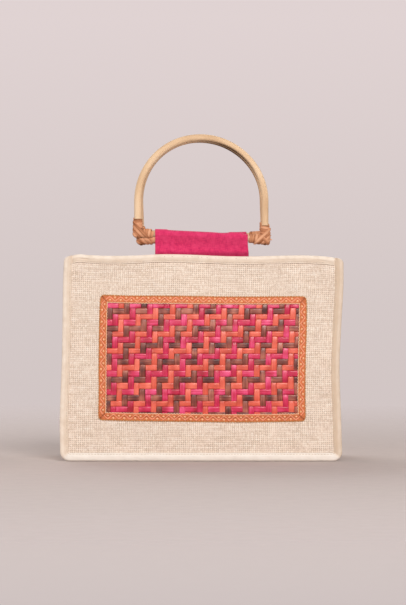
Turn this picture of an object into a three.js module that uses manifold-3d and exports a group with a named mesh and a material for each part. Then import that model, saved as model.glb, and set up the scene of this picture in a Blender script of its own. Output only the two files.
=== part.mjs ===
// Jute lunch bag with bound seams, a woven strip panel on its front and two cane handles in cloth sleeves.
// Millimetres, +Z up. The front faces -Y, and the origin is on the floor under the middle of the bag.
import * as THREE from "three";
import { mergeVertices } from "three/addons/utils/BufferGeometryUtils.js";
import Module from "manifold-3d";

const wasm = await Module();
wasm.setup();

// Driving dimensions of the body
const BAG_WIDTH = 302; // over the bound side seams
const BAG_HEIGHT = 220; // floor to mouth
const BAG_DEPTH = 125; // over the two panels, at the base
const CORNER_RADIUS = 11; // outer radius of the bottom corners
const JUTE = 1.4; // thickness of the panels and the gusset
const TAPE = 0.9; // thickness of the binding tape
const SEAM_WIDTH = 9; // width of a bound seam, which stands out as a fin
const HEM_HEIGHT = 8.5; // height of the binding round the mouth
const GAP = 0.3; // between neighbouring pieces

// The woven strip panel and its trim on the front
const TRIM_OUTER = { width: 223, height: 132.7, middleX: 1.4, middleZ: 110 };
const TRIM_WIDTH = 8.8;
const TRIM_THICKNESS = 0.9;
const TRIM_OVERLAP = 2; // how far the trim covers the edge of the panel
const MAT_THICKNESS = 1;

// The cane handles
const CANE_RADIUS = 3.75; // bent arch
const BAR_RADIUS = 3.4; // straight bar across its foot
const ARCH_RADIUS = 68; // middle line of the half-round top
const LASHING_FIT = 0.15; // between the cane and the strands wound on it
const LASHING_WALL = 0.6; // strands at the far ends of the winding
const LASHING_KNOT = 5.6; // radius of the winding over the corner
const LASHING_RIB = 0.4; // how far a turn stands out
const LASHING_TURN = 4; // one turn of the winding
const LASHING_UP = 15.8; // along the leg, from the bar's middle line
const LASHING_DOWN = 6.8;
const LASHING_ALONG = 16; // along the bar, from the leg's middle line
// One row a handle: the side it is on, where its bar's middle is, the bar's rise from left to right leg,
// its crown's height and the lean of the whole handle in its own plane, in degrees.
const HANDLES = [
  { name: "front", side: -1, middleX: 0, barHeight: 240, barRise: -7.1, crownHeight: 344.2, lean: 0 },
  { name: "back", side: 1, middleX: 1.5, barHeight: 240.6, barRise: 0, crownHeight: 348.5, lean: 2.1 },
];

// The cloth sleeves that hold the handles' bars
const SLEEVE_LENGTH = 99;
const SLEEVE_CLOTH = 1;
const SLEEVE_FIT = 0.3; // clearance round the bar, which turns in it
const SLEEVE_NECK = 12; // below the bar the two layers meet here
const SLEEVE_TAIL_FOOT = 208; // height of the tails' sewn ends, inside the mouth

// The slump of the standing bag
const MOUTH_LEAN = 10; // each panel leans in by this much at the mouth
const PANEL_BELLY = 3.5; // swell of a panel at its middle
const GUSSET_FOLD = 28; // depth of each gusset's inward fold at the mouth
const FOLD_FOOT = 0.12; // share of the height where that fold starts
const BASE_SAG = 3; // the base hangs between the two bottom seams
const WEB_EDGE = 55; // the gusset bends inside this distance from the middle plane
const MOUTH_WAVE_FOOT = 0.5; // share of the height above which the mouth's line shows
// Shift of the left and right side seams, from the floor up.
const SIDE_LINE = [
  { at: 0.0, left: 0.0, right: -1.4 },
  { at: 0.2, left: 0.2, right: -2.4 },
  { at: 0.45, left: 2.0, right: -4.1 },
  { at: 0.65, left: 2.9, right: -2.6 },
  { at: 0.85, left: 3.4, right: -0.3 },
  { at: 1.0, left: 4.3, right: 0.0 },
];
// Rise of the mouth's line in front and behind, from the left corner to the right.
const MOUTH_LINE = [
  { at: -1.0, front: -4.0, back: -3.5 },
  { at: -0.88, front: 0.0, back: -0.6 },
  { at: -0.6, front: -0.9, back: -0.4 },
  { at: -0.2, front: 0.2, back: 0.1 },
  { at: 0.3, front: -0.7, back: 0.0 },
  { at: 0.65, front: -1.8, back: -0.2 },
  { at: 0.9, front: -2.8, back: -0.8 },
  { at: 1.0, front: -6.0, back: -3.5 },
];
// Shallow dents between the strip panel's corners and the bag's.
const DENTS = [
  { x: -118, z: 190, reach: 15, depth: 1.6 },
  { x: -126, z: 30, reach: 15, depth: 1.4 },
  { x: 128, z: 32, reach: 15, depth: 1.2 },
  { x: 128, z: 188, reach: 15, depth: 1.0 },
];

// Faces and edges of the flat pattern, before the slump
const HALF_WIDTH = BAG_WIDTH / 2;
const PANEL_FACE = BAG_DEPTH / 2;
const PANEL_BACK = PANEL_FACE - JUTE;
const FLANGE_FACE = PANEL_BACK - GAP;
const FLANGE_BACK = FLANGE_FACE - JUTE;
const RAW_EDGE = TAPE + GAP; // cut edges lie this far inside the binding's nose
const CLOTH_TOP = BAG_HEIGHT - RAW_EDGE;
const HEM_FOOT = BAG_HEIGHT - HEM_HEIGHT;
const HEM_BACK = PANEL_BACK - GAP - TAPE;
const SLEEVE_MIDDLE = HEM_BACK - GAP - SLEEVE_CLOTH - GAP / 2;

// How finely the cloth is faceted
const SIDE_STEPS = 10;
const CORNER_STEPS = 4;
const BASE_STEPS = 6;
const PANEL_COLUMNS = { front: 16, back: 10 };
const WEB_STEPS = 8;
const MAT_COLUMNS = 10;
const MAT_ROWS = 6;
const SLEEVE_STEPS = 5;
const SLEEVE_ARC_STEPS = 8;
const CANE_SIDES = 10;
const WINDING_SIDES = 8;
const ARCH_STEPS = 26;

const MATERIALS = {
  jute: { color: 0xe8d2bb, roughness: 0.95, metalness: 0 },
  tape: { color: 0xf5e6d3, roughness: 0.9, metalness: 0 },
  strips: { color: 0xd9596b, roughness: 0.45, metalness: 0 },
  trim: { color: 0xe58a5a, roughness: 0.7, metalness: 0 },
  sleeve: { color: 0xdc3a69, roughness: 0.85, metalness: 0 },
  cane: { color: 0xe3bb90, roughness: 0.4, metalness: 0 },
  lashing: { color: 0xc28d66, roughness: 0.6, metalness: 0 },
};

const { clamp, lerp, smoothstep } = THREE.MathUtils;

// A smooth value from a table's column, with a curve through the rows.
function tableValue(rows, column, at) {
  const last = rows.length - 1;
  const share = clamp(at, rows[0].at, rows[last].at);
  let row = 0;
  while (row < last - 1 && share > rows[row + 1].at) row += 1;
  const slope = (i) => {
    const before = rows[Math.max(i - 1, 0)];
    const after = rows[Math.min(i + 1, last)];
    return (after[column] - before[column]) / (after.at - before.at);
  };
  const span = rows[row + 1].at - rows[row].at;
  const t = (share - rows[row].at) / span;
  const rise = t * t * (3 - 2 * t);
  const leave = t * (1 - t) * (1 - t) * span * slope(row);
  const arrive = t * t * (t - 1) * span * slope(row + 1);
  return lerp(rows[row][column], rows[row + 1][column], rise) + leave + arrive;
}

// Where a point of the flat pattern goes on the standing bag.
function settle(x, y, z) {
  const across = clamp(x / HALF_WIDTH, -1, 1);
  const up = clamp(z / BAG_HEIGHT, 0, 1);
  const side = clamp(y / WEB_EDGE, -1, 1); // -1 on the front, 1 on the back
  const toRight = (across + 1) / 2;
  const toBack = (side + 1) / 2;

  const edgeShift = lerp(tableValue(SIDE_LINE, "left", up), tableValue(SIDE_LINE, "right", up), toRight);
  const fold = GUSSET_FOLD * smoothstep(up, FOLD_FOOT, 1) * Math.cos((side * Math.PI) / 2) ** 2;
  const foldShare = smoothstep(Math.abs(across), 0.5, 0.9);

  const lean = MOUTH_LEAN * smoothstep(up, 0, 1);
  const belly = PANEL_BELLY * Math.cos((across * Math.PI) / 2) * Math.sin(up * Math.PI);
  let dent = 0;
  for (const { x: dentX, z: dentZ, reach, depth } of DENTS) {
    const away = ((x - dentX) ** 2 + (z - dentZ) ** 2) / (reach * reach);
    dent += depth * Math.exp(-away);
  }

  const mouthRise = lerp(tableValue(MOUTH_LINE, "front", across), tableValue(MOUTH_LINE, "back", across), toBack);
  const sag = BASE_SAG * (1 - side * side) * (1 - across * across) * (1 - smoothstep(up, 0, 0.1));

  return new THREE.Vector3(
    x + edgeShift - Math.sign(x) * fold * foldShare,
    y + side * (belly - lean - dent),
    z + mouthRise * smoothstep(up, MOUTH_WAVE_FOOT, 1) - sag,
  );
}

// Turns a geometry's faces outwards where its volume comes out negative.
function facingOut(geometry) {
  const p = geometry.getAttribute("position");
  const index = geometry.index.array;
  const [a, b, c] = [new THREE.Vector3(), new THREE.Vector3(), new THREE.Vector3()];
  let volume = 0;
  for (let i = 0; i < index.length; i += 3) {
    a.fromBufferAttribute(p, index[i]);
    b.fromBufferAttribute(p, index[i + 1]);
    c.fromBufferAttribute(p, index[i + 2]);
    volume += a.dot(b.cross(c));
  }
  if (volume < 0) {
    for (let i = 0; i < index.length; i += 3) {
      [index[i + 1], index[i + 2]] = [index[i + 2], index[i + 1]];
    }
  }
  geometry.computeVertexNormals();
  return geometry;
}

// A closed cloth wall. Each row holds the points of its outer and its inner face, as many in each.
// A looped wall joins its last row to its first.
function clothWall(rows, looped = false) {
  const width = rows[0].outer.length;
  const points = rows.flatMap((row) => [...row.outer, ...row.inner]);
  const outer = (row, i) => (row % rows.length) * 2 * width + i;
  const inner = (row, i) => outer(row, i) + width;
  const index = [];
  const quad = (a, b, c, d) => index.push(a, b, c, a, c, d);

  const spans = looped ? rows.length : rows.length - 1;
  for (let row = 0; row < spans; row += 1) {
    for (let i = 0; i + 1 < width; i += 1) {
      quad(outer(row, i), outer(row, i + 1), outer(row + 1, i + 1), outer(row + 1, i));
      quad(inner(row, i), inner(row + 1, i), inner(row + 1, i + 1), inner(row, i + 1));
    }
    const end = width - 1;
    quad(outer(row, 0), outer(row + 1, 0), inner(row + 1, 0), inner(row, 0));
    quad(outer(row, end), inner(row, end), inner(row + 1, end), outer(row + 1, end));
  }
  if (!looped) {
    const top = rows.length - 1;
    for (let i = 0; i + 1 < width; i += 1) {
      quad(outer(0, i), inner(0, i), inner(0, i + 1), outer(0, i + 1));
      quad(outer(top, i), outer(top, i + 1), inner(top, i + 1), inner(top, i));
    }
  }
  const geometry = new THREE.BufferGeometry().setFromPoints(points);
  geometry.setIndex(index);
  return facingOut(geometry);
}

// Evenly spaced values from one end to the other.
function steps(from, to, count) {
  return Array.from({ length: count + 1 }, (_, i) => lerp(from, to, i / count));
}

// Stations along a side seam: down the left side, round the base and up the right side.
// Each has a point on the outer outline and the direction that points out there.
function seamStations(top) {
  const stations = [];
  const add = (x, z, angle) => stations.push({ x, z, outX: Math.cos(angle), outZ: Math.sin(angle) });
  const straight = HALF_WIDTH - CORNER_RADIUS;
  const corner = (middleX, fromAngle) => {
    for (const angle of steps(fromAngle, fromAngle + Math.PI / 2, CORNER_STEPS)) {
      const x = middleX + CORNER_RADIUS * Math.cos(angle);
      const z = CORNER_RADIUS + CORNER_RADIUS * Math.sin(angle);
      add(x, z, angle);
    }
  };
  const heights = [top, ...steps(HEM_FOOT, CORNER_RADIUS, SIDE_STEPS).slice(0, -1)];
  heights.forEach((z) => add(-HALF_WIDTH, z, Math.PI));
  corner(-straight, Math.PI);
  const between = steps(-straight, straight, BASE_STEPS).slice(1, -1);
  between.forEach((x) => add(x, 0, 1.5 * Math.PI));
  corner(straight, 1.5 * Math.PI);
  heights.reverse().forEach((z) => add(HALF_WIDTH, z, 2 * Math.PI));
  return stations;
}

// The point that lies a distance inside the outline at a station, at a depth y.
function atSeam(station, inside, y) {
  return settle(station.x - station.outX * inside, y, station.z - station.outZ * inside);
}

// A tape's section, folded over an edge: its nose, lips and slot, in distance from the nose and place across.
// The front lip and the back lip may reach different distances.
function foldedTape(frontFace, backFace, frontReach, backReach) {
  const round = 1.6; // softens the nose
  const flat = (backFace - frontFace) / 2 - 0.85;
  const middle = (frontFace + backFace) / 2;
  const outer = [
    [frontReach, frontFace],
    [round, frontFace],
    [0, middle - flat],
    [0, middle + flat],
    [round, backFace],
    [backReach, backFace],
  ];
  const inner = [
    [frontReach, frontFace + TAPE],
    [TAPE + 0.05, frontFace + TAPE],
    [TAPE, frontFace + TAPE + 0.1],
    [TAPE, backFace - TAPE - 0.1],
    [TAPE + 0.05, backFace - TAPE],
    [backReach, backFace - TAPE],
  ];
  return { outer, inner };
}

// Places across a panel's top where it and its hem are faceted, between the two side seams.
function hemPlaces(name) {
  const end = HALF_WIDTH - SEAM_WIDTH - GAP;
  return steps(-end, end, PANEL_COLUMNS[name]);
}

// The front or back panel, with its lower corners rounded to follow the seam.
function panelWall(name, side) {
  const radius = CORNER_RADIUS - RAW_EDGE;
  const edge = HALF_WIDTH - RAW_EDGE;
  const cornerRows = steps(0, Math.PI / 2, CORNER_STEPS).map((angle) => ({
    z: RAW_EDGE + radius * (1 - Math.cos(angle)),
    half: edge - radius + radius * Math.sin(angle),
  }));
  const straightRows = steps(CORNER_RADIUS, HEM_FOOT, SIDE_STEPS)
    .slice(1)
    .map((z) => ({ z, half: edge }));
  const topRow = { z: CLOTH_TOP, half: edge };
  const rows = [...cornerRows, ...straightRows, topRow].map(({ z, half }) => {
    const columns = [-edge, ...hemPlaces(name), edge].map((x) => (x * half) / edge);
    return {
      outer: columns.map((x) => settle(x, side * PANEL_FACE, z)),
      inner: columns.map((x) => settle(x, side * PANEL_BACK, z)),
    };
  });
  return clothWall(rows);
}

// Places across the gusset where its fold is faceted. Its hem uses the same ones.
const WEB_PLACES = steps(-WEB_EDGE, WEB_EDGE, WEB_STEPS);

// The gusset: one strip down the left side, along the base and up the right, with its edges turned out.
function gussetWall() {
  const webIn = SEAM_WIDTH + JUTE;
  const rows = seamStations(CLOTH_TOP).map((station) => ({
    outer: [
      atSeam(station, RAW_EDGE, -FLANGE_BACK),
      atSeam(station, SEAM_WIDTH, -FLANGE_BACK),
      ...WEB_PLACES.map((y) => atSeam(station, SEAM_WIDTH, y)),
      atSeam(station, SEAM_WIDTH, FLANGE_BACK),
      atSeam(station, RAW_EDGE, FLANGE_BACK),
    ],
    inner: [
      atSeam(station, RAW_EDGE, -FLANGE_FACE),
      atSeam(station, webIn, -FLANGE_FACE),
      ...WEB_PLACES.map((y) => atSeam(station, webIn, y)),
      atSeam(station, webIn, FLANGE_FACE),
      atSeam(station, RAW_EDGE, FLANGE_FACE),
    ],
  }));
  return clothWall(rows);
}

// The tape over a side seam. Its ends are folded shut at the mouth.
function seamBinding(side) {
  const front = -(PANEL_FACE + GAP + TAPE);
  const back = -(FLANGE_BACK - GAP - TAPE);
  const section = foldedTape(front, back, SEAM_WIDTH, SEAM_WIDTH - GAP);
  const shut = SEAM_WIDTH - 2 * GAP; // depth to which a folded end closes the slot
  const row = (station, closed) => ({
    outer: section.outer.map(([inside, y]) => atSeam(station, inside, -side * y)),
    inner: section.inner.map(([inside, y]) => atSeam(station, closed ? Math.max(inside, shut) : inside, -side * y)),
  });
  const stations = seamStations(CLOTH_TOP + GAP);
  const [first, last] = [stations[0], stations[stations.length - 1]];
  const raised = (station, z) => ({ ...station, z });
  return clothWall([
    row(raised(first, BAG_HEIGHT), true),
    row(raised(first, CLOTH_TOP + 2 * GAP), true),
    ...stations.map((station) => row(station, false)),
    row(raised(last, CLOTH_TOP + 2 * GAP), true),
    row(raised(last, BAG_HEIGHT), true),
  ]);
}

// The tape over a panel's top edge, between the two side seams. Its back lip stops short of the gusset.
function panelHem(name, side) {
  const section = foldedTape(-(PANEL_FACE + GAP + TAPE), -HEM_BACK, HEM_HEIGHT, HEM_HEIGHT);
  const middle = -(PANEL_FACE + GAP + TAPE + HEM_BACK) / 2;
  const places = hemPlaces(name);
  const last = places.length - 1;
  const shortBy = (JUTE + GAP) / (places[1] - places[0]);
  const point = ([below, y], i) => {
    const place = (at) => settle(places[at], -side * y, BAG_HEIGHT - below);
    const inwards = clamp(i, 1, last - 1);
    return y < middle ? place(i) : place(i).lerp(place(inwards), shortBy);
  };
  const rows = places.map((_, i) => ({
    outer: section.outer.map((edge) => point(edge, i)),
    inner: section.inner.map((edge) => point(edge, i)),
  }));
  return clothWall(rows);
}

// The tape over the gusset's top edge, which folds with it.
function gussetHem(side) {
  const section = foldedTape(SEAM_WIDTH - GAP - TAPE, SEAM_WIDTH + JUTE + GAP + TAPE, HEM_HEIGHT, HEM_HEIGHT);
  const end = FLANGE_BACK - GAP - TAPE - GAP; // clears the side seams' tape
  const point = ([below, inside], y) => settle(side * (HALF_WIDTH - inside), y, BAG_HEIGHT - below);
  const rows = [-end, ...WEB_PLACES, end].map((y) => ({
    outer: section.outer.map((place) => point(place, y)),
    inner: section.inner.map((place) => point(place, y)),
  }));
  return clothWall(rows);
}

// The backing of the woven strips. Its edge is under the trim.
function matSheet() {
  const hidden = TRIM_WIDTH - TRIM_OVERLAP;
  const halfWidth = TRIM_OUTER.width / 2 - hidden;
  const halfHeight = TRIM_OUTER.height / 2 - hidden;
  const columns = steps(TRIM_OUTER.middleX - halfWidth, TRIM_OUTER.middleX + halfWidth, MAT_COLUMNS);
  const back = PANEL_FACE + GAP;
  const rows = steps(TRIM_OUTER.middleZ - halfHeight, TRIM_OUTER.middleZ + halfHeight, MAT_ROWS).map((z) => ({
    outer: columns.map((x) => settle(x, -(back + MAT_THICKNESS), z)),
    inner: columns.map((x) => settle(x, -back, z)),
  }));
  return clothWall(rows);
}

// The trim: a ribbon round the strips, mitred at the corners, that steps down from them to the jute.
function trimFrame() {
  const low = PANEL_FACE + GAP;
  const high = low + MAT_THICKNESS + GAP;
  const matEdge = TRIM_WIDTH - TRIM_OVERLAP;
  const stepDown = 1.6; // length of the slope beside the strips' edge
  const under = [
    [0, low],
    [matEdge - stepDown, low],
    [matEdge - GAP, high],
    [TRIM_WIDTH, high],
  ];
  const over = [
    [0, low + TRIM_THICKNESS],
    [matEdge - stepDown - GAP, low + TRIM_THICKNESS],
    [matEdge - 2 * GAP, high + TRIM_THICKNESS],
    [TRIM_WIDTH, high + TRIM_THICKNESS],
  ];
  const halfWidth = TRIM_OUTER.width / 2;
  const halfHeight = TRIM_OUTER.height / 2;
  const round = [
    ...steps(-1, 1, MAT_COLUMNS).slice(0, -1).map((share) => [share, -1]),
    ...steps(-1, 1, MAT_ROWS).slice(0, -1).map((share) => [1, share]),
    ...steps(1, -1, MAT_COLUMNS).slice(0, -1).map((share) => [share, 1]),
    ...steps(1, -1, MAT_ROWS).slice(0, -1).map((share) => [-1, share]),
  ];
  const point = ([inside, y], [shareX, shareZ]) =>
    settle(
      TRIM_OUTER.middleX + shareX * (halfWidth - inside),
      -y,
      TRIM_OUTER.middleZ + shareZ * (halfHeight - inside),
    );
  const rows = round.map((place) => ({
    outer: over.map((edge) => point(edge, place)),
    inner: under.map((edge) => point(edge, place)),
  }));
  return clothWall(rows, true);
}

// The slope of a handle's bar in the handle's own plane, and with the handle's lean. The sleeve follows it.
const barSlope = (handle) => handle.barRise / (2 * ARCH_RADIUS);
const leanAngle = (handle) => THREE.MathUtils.degToRad(handle.lean);
const sleeveSlope = (handle) => Math.tan(Math.atan(barSlope(handle)) + leanAngle(handle));

// A sleeve: cloth looped over the bar, with both layers sewn inside the mouth.
function sleeveWall(handle) {
  const innerRadius = BAR_RADIUS + SLEEVE_FIT;
  const outerRadius = innerRadius + SLEEVE_CLOTH;
  const barHeight = handle.barHeight;
  const turn = steps(Math.PI * 1.14, -Math.PI * 0.14, SLEEVE_ARC_STEPS);
  const layer = (radius, tailY) => [
    [-tailY, SLEEVE_TAIL_FOOT - barHeight],
    [-tailY, -(barHeight - BAG_HEIGHT)],
    [-tailY, -SLEEVE_NECK],
    ...turn.map((angle) => [radius * Math.cos(angle), radius * Math.sin(angle)]),
    [tailY, -SLEEVE_NECK],
    [tailY, -(barHeight - BAG_HEIGHT)],
    [tailY, SLEEVE_TAIL_FOOT - barHeight],
  ];
  const outer = layer(outerRadius, GAP / 2 + SLEEVE_CLOTH);
  const inner = layer(innerRadius, GAP / 2);
  const point = ([y, above], x) => {
    const follows = smoothstep(above, BAG_HEIGHT - barHeight, -SLEEVE_NECK);
    const middle = settle(0, handle.side * SLEEVE_MIDDLE, BAG_HEIGHT);
    const rise = (x - handle.middleX) * sleeveSlope(handle);
    return new THREE.Vector3(x, middle.y + y, barHeight + above + follows * rise);
  };
  const half = SLEEVE_LENGTH / 2;
  const rows = steps(-half, half, SLEEVE_STEPS).map((x) => ({
    outer: outer.map((place) => point(place, x)),
    inner: inner.map((place) => point(place, x)),
  }));
  return clothWall(rows);
}

// A round section for bent cane.
function caneSection(radius) {
  const corners = Array.from({ length: CANE_SIDES }, (_, i) => {
    const angle = ((i + 0.5) / CANE_SIDES) * 2 * Math.PI;
    return new THREE.Vector2(radius * Math.cos(angle), radius * Math.sin(angle));
  });
  return new THREE.Shape(corners);
}

// The middle line of a handle's arch: up the left leg, over the half-round top and down the right leg.
class ArchLine extends THREE.Curve {
  constructor(leftFoot, rightFoot, springing) {
    super();
    this.leftFoot = leftFoot;
    this.rightFoot = rightFoot;
    this.springing = springing;
  }

  getPoint(t, target = new THREE.Vector3()) {
    const leftLeg = this.springing - this.leftFoot;
    const rightLeg = this.springing - this.rightFoot;
    const top = Math.PI * ARCH_RADIUS;
    const along = t * (leftLeg + top + rightLeg);
    if (along <= leftLeg) return target.set(-ARCH_RADIUS, 0, this.leftFoot + along);
    if (along >= leftLeg + top) {
      return target.set(ARCH_RADIUS, 0, this.springing - (along - leftLeg - top));
    }
    const angle = Math.PI - (along - leftLeg) / ARCH_RADIUS;
    return target.set(ARCH_RADIUS * Math.cos(angle), 0, this.springing + ARCH_RADIUS * Math.sin(angle));
  }
}

// The bent cane, in the handle's own frame with its bar's middle at the origin.
function archCane(handle) {
  const springing = handle.crownHeight - handle.barHeight - ARCH_RADIUS;
  const footBelow = BAR_RADIUS;
  const line = new ArchLine(-handle.barRise / 2 - footBelow, handle.barRise / 2 - footBelow, springing);
  return new THREE.ExtrudeGeometry(caneSection(CANE_RADIUS), {
    steps: ARCH_STEPS,
    bevelEnabled: false,
    extrudePath: line,
  });
}

// The straight bar, whose ends butt against the legs.
function barCane() {
  const length = 2 * (ARCH_RADIUS - CANE_RADIUS - GAP);
  return new THREE.CylinderGeometry(BAR_RADIUS, BAR_RADIUS, length, CANE_SIDES).rotateZ(Math.PI / 2);
}

// A closed geometry as a solid for cutting and joining.
function solidOf(geometry) {
  geometry.deleteAttribute("normal");
  geometry.deleteAttribute("uv");
  const merged = mergeVertices(geometry, 1e-4);
  const faces = merged.index.array;
  const kept = [];
  for (let i = 0; i < faces.length; i += 3) {
    const [a, b, c] = faces.slice(i, i + 3);
    if (a !== b && b !== c && c !== a) kept.push(a, b, c);
  }
  merged.setIndex(kept);
  facingOut(merged);
  const vertProperties = new Float32Array(merged.getAttribute("position").array);
  const triVerts = new Uint32Array(merged.index.array);
  return new wasm.Manifold(new wasm.Mesh({ numProp: 3, vertProperties, triVerts }));
}

// A solid's faces as a geometry again.
function geometryOf(solid) {
  const { vertProperties, triVerts } = solid.getMesh();
  const geometry = new THREE.BufferGeometry();
  geometry.setAttribute("position", new THREE.BufferAttribute(vertProperties, 3));
  geometry.setIndex(new THREE.BufferAttribute(triVerts, 1));
  geometry.computeVertexNormals();
  return geometry;
}

// Wound strands round a straight cane: a ribbed sleeve along Z from one height to another.
// It is a knot in its lower part and thins out to one layer of strands at its top.
function windingSleeve(caneRadius, from, to) {
  const thin = caneRadius + LASHING_FIT + LASHING_WALL;
  const valley = (z) => lerp(LASHING_KNOT, thin, smoothstep(z, 0.25 * to, to));
  const turns = Math.round((to - from) / LASHING_TURN);
  const profile = [new THREE.Vector2(0, from), new THREE.Vector2(valley(from), from)];
  for (let turn = 0; turn < turns; turn += 1) {
    const crestZ = lerp(from, to, (turn + 0.5) / turns);
    const valleyZ = lerp(from, to, (turn + 1) / turns);
    profile.push(new THREE.Vector2(valley(crestZ) + LASHING_RIB, crestZ));
    profile.push(new THREE.Vector2(valley(valleyZ), valleyZ));
  }
  profile.push(new THREE.Vector2(0, to));
  return new THREE.LatheGeometry(profile, WINDING_SIDES).rotateX(Math.PI / 2);
}

// A lashing over the corner where a leg and the bar meet, in the handle's own frame.
function cornerLashing(handle, side) {
  const legX = side * ARCH_RADIUS;
  const barZ = (side * handle.barRise) / 2;
  const tilt = -Math.atan(barSlope(handle));
  const alongBar = (geometry) =>
    geometry
      .rotateY((-side * Math.PI) / 2)
      .rotateY(tilt)
      .translate(legX, 0, barZ);
  const round = (radius, from, to) =>
    new THREE.CylinderGeometry(radius, radius, to - from, CANE_SIDES)
      .rotateY(Math.PI / CANE_SIDES)
      .rotateX(Math.PI / 2)
      .translate(0, 0, (from + to) / 2);

  const upLeg = windingSleeve(CANE_RADIUS, -LASHING_DOWN, LASHING_UP).translate(legX, 0, barZ);
  const overBar = alongBar(windingSleeve(BAR_RADIUS, 0, LASHING_ALONG));
  const legHole = round(CANE_RADIUS + LASHING_FIT, -BAR_RADIUS - GAP, 2 * LASHING_UP).translate(legX, 0, barZ);
  const barHole = alongBar(round(BAR_RADIUS + LASHING_FIT, 0, 2 * LASHING_ALONG));
  const lashed = solidOf(upLeg).add(solidOf(overBar));
  return geometryOf(lashed.subtract(solidOf(legHole)).subtract(solidOf(barHole)));
}

function piece(name, geometry, material) {
  const mesh = new THREE.Mesh(geometry, new THREE.MeshStandardMaterial(MATERIALS[material]));
  mesh.name = name;
  return mesh;
}

// A handle: arch, bar and two lashings, hung on its bar's middle.
function caneHandle(handle) {
  const group = new THREE.Group();
  const bar = piece(`${handle.name}_handle_bar`, barCane(), "cane");
  bar.rotation.y = -Math.atan(barSlope(handle));
  group.add(
    piece(`${handle.name}_handle_arch`, archCane(handle), "cane"),
    bar,
    piece(`${handle.name}_lashing_left`, cornerLashing(handle, -1), "lashing"),
    piece(`${handle.name}_lashing_right`, cornerLashing(handle, 1), "lashing"),
  );
  const seat = settle(0, handle.side * SLEEVE_MIDDLE, BAG_HEIGHT);
  group.position.set(handle.middleX, seat.y, handle.barHeight);
  group.rotation.y = -leanAngle(handle);
  return group;
}

const bag = new THREE.Group();
bag.add(
  piece("front_panel", panelWall("front", -1), "jute"),
  piece("back_panel", panelWall("back", 1), "jute"),
  piece("gusset", gussetWall(), "jute"),
  piece("front_seam_binding", seamBinding(-1), "tape"),
  piece("back_seam_binding", seamBinding(1), "tape"),
  piece("front_hem", panelHem("front", -1), "tape"),
  piece("back_hem", panelHem("back", 1), "tape"),
  piece("gusset_hem_left", gussetHem(-1), "tape"),
  piece("gusset_hem_right", gussetHem(1), "tape"),
  piece("woven_strips", matSheet(), "strips"),
  piece("strip_trim", trimFrame(), "trim"),
);
for (const handle of HANDLES) {
  bag.add(piece(`${handle.name}_sleeve`, sleeveWall(handle), "sleeve"), caneHandle(handle));
}

// The strips and their trim stand out in front, so the whole is moved back to sit over the origin.
const middle = new THREE.Box3().setFromObject(bag).getCenter(new THREE.Vector3());
bag.position.y = -middle.y;

export default bag;
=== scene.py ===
import collections
import math

import bpy
import numpy as np
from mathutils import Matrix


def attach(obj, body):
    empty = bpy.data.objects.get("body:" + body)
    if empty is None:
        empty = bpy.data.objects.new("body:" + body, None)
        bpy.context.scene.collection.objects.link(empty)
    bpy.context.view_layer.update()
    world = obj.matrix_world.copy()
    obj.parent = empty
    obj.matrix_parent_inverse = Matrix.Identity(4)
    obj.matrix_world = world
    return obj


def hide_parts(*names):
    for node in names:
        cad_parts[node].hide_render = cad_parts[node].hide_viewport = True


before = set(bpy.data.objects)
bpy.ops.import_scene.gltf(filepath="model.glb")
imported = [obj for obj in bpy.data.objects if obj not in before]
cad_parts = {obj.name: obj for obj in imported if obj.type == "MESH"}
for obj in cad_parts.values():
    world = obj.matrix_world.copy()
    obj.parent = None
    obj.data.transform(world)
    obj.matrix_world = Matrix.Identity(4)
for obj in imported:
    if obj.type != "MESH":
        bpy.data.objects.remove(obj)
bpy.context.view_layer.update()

# Lengths are in millimetres until a mesh is made.
MM = 0.001
BACK_SHIFT = 0.93936  # the solids sit this far back of their own middle plane

# Body
BAG_WIDTH = 302.0
BAG_HEIGHT = 220.0
BAG_DEPTH = 125.0
CORNER_RADIUS = 11.0
TOP_RADIUS = 4.5  # of the seams' top corners
JUTE = 1.4
TAPE = 0.9
SEAM_WIDTH = 9.0
HEM_HEIGHT = 8.5
GAP = 0.3  # between neighbouring layers
HALF_WIDTH = BAG_WIDTH / 2
PANEL_FACE = BAG_DEPTH / 2
PANEL_BACK = PANEL_FACE - JUTE
FLANGE_FACE = PANEL_BACK - GAP
FLANGE_BACK = FLANGE_FACE - JUTE
RAW_EDGE = TAPE + GAP
CLOTH_TOP = BAG_HEIGHT - RAW_EDGE
HEM_BACK = PANEL_BACK - GAP - TAPE
TAPE_FACE = PANEL_FACE + GAP + TAPE
TAPE_BACK = FLANGE_BACK - GAP - TAPE

# Woven strips and their trim
TRIM_WIDTH = 8.8
TRIM_THICKNESS = 0.9
TRIM_OVERLAP = 2.0
TRIM_HALF_WIDTH = 111.5
TRIM_HALF_HEIGHT = 66.35
TRIM_MIDDLE_X = 1.4
TRIM_MIDDLE_Z = 110.0
MAT_THICKNESS = 1.0
TRIM_CORNER = 5.5  # radius of the trim's outer corners
# How far the sewn trim's edges lie off a true rectangle, along each edge from the left or from the foot
TRIM_LINE = {
    "at": (-1.0, -0.6, -0.2, 0.2, 0.6, 1.0),
    "left": (0.4, 0.2, -0.6, -1.0, -1.1, -0.5),
    "right": (0.0, 0.4, 1.2, 1.1, 0.5, -0.9),
    "top": (1.5, 0.2, -0.2, -0.5, -0.5, -0.4),
    "bottom": (0.0, -1.0, -1.6, -2.2, -2.1, -1.3),
}

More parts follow.
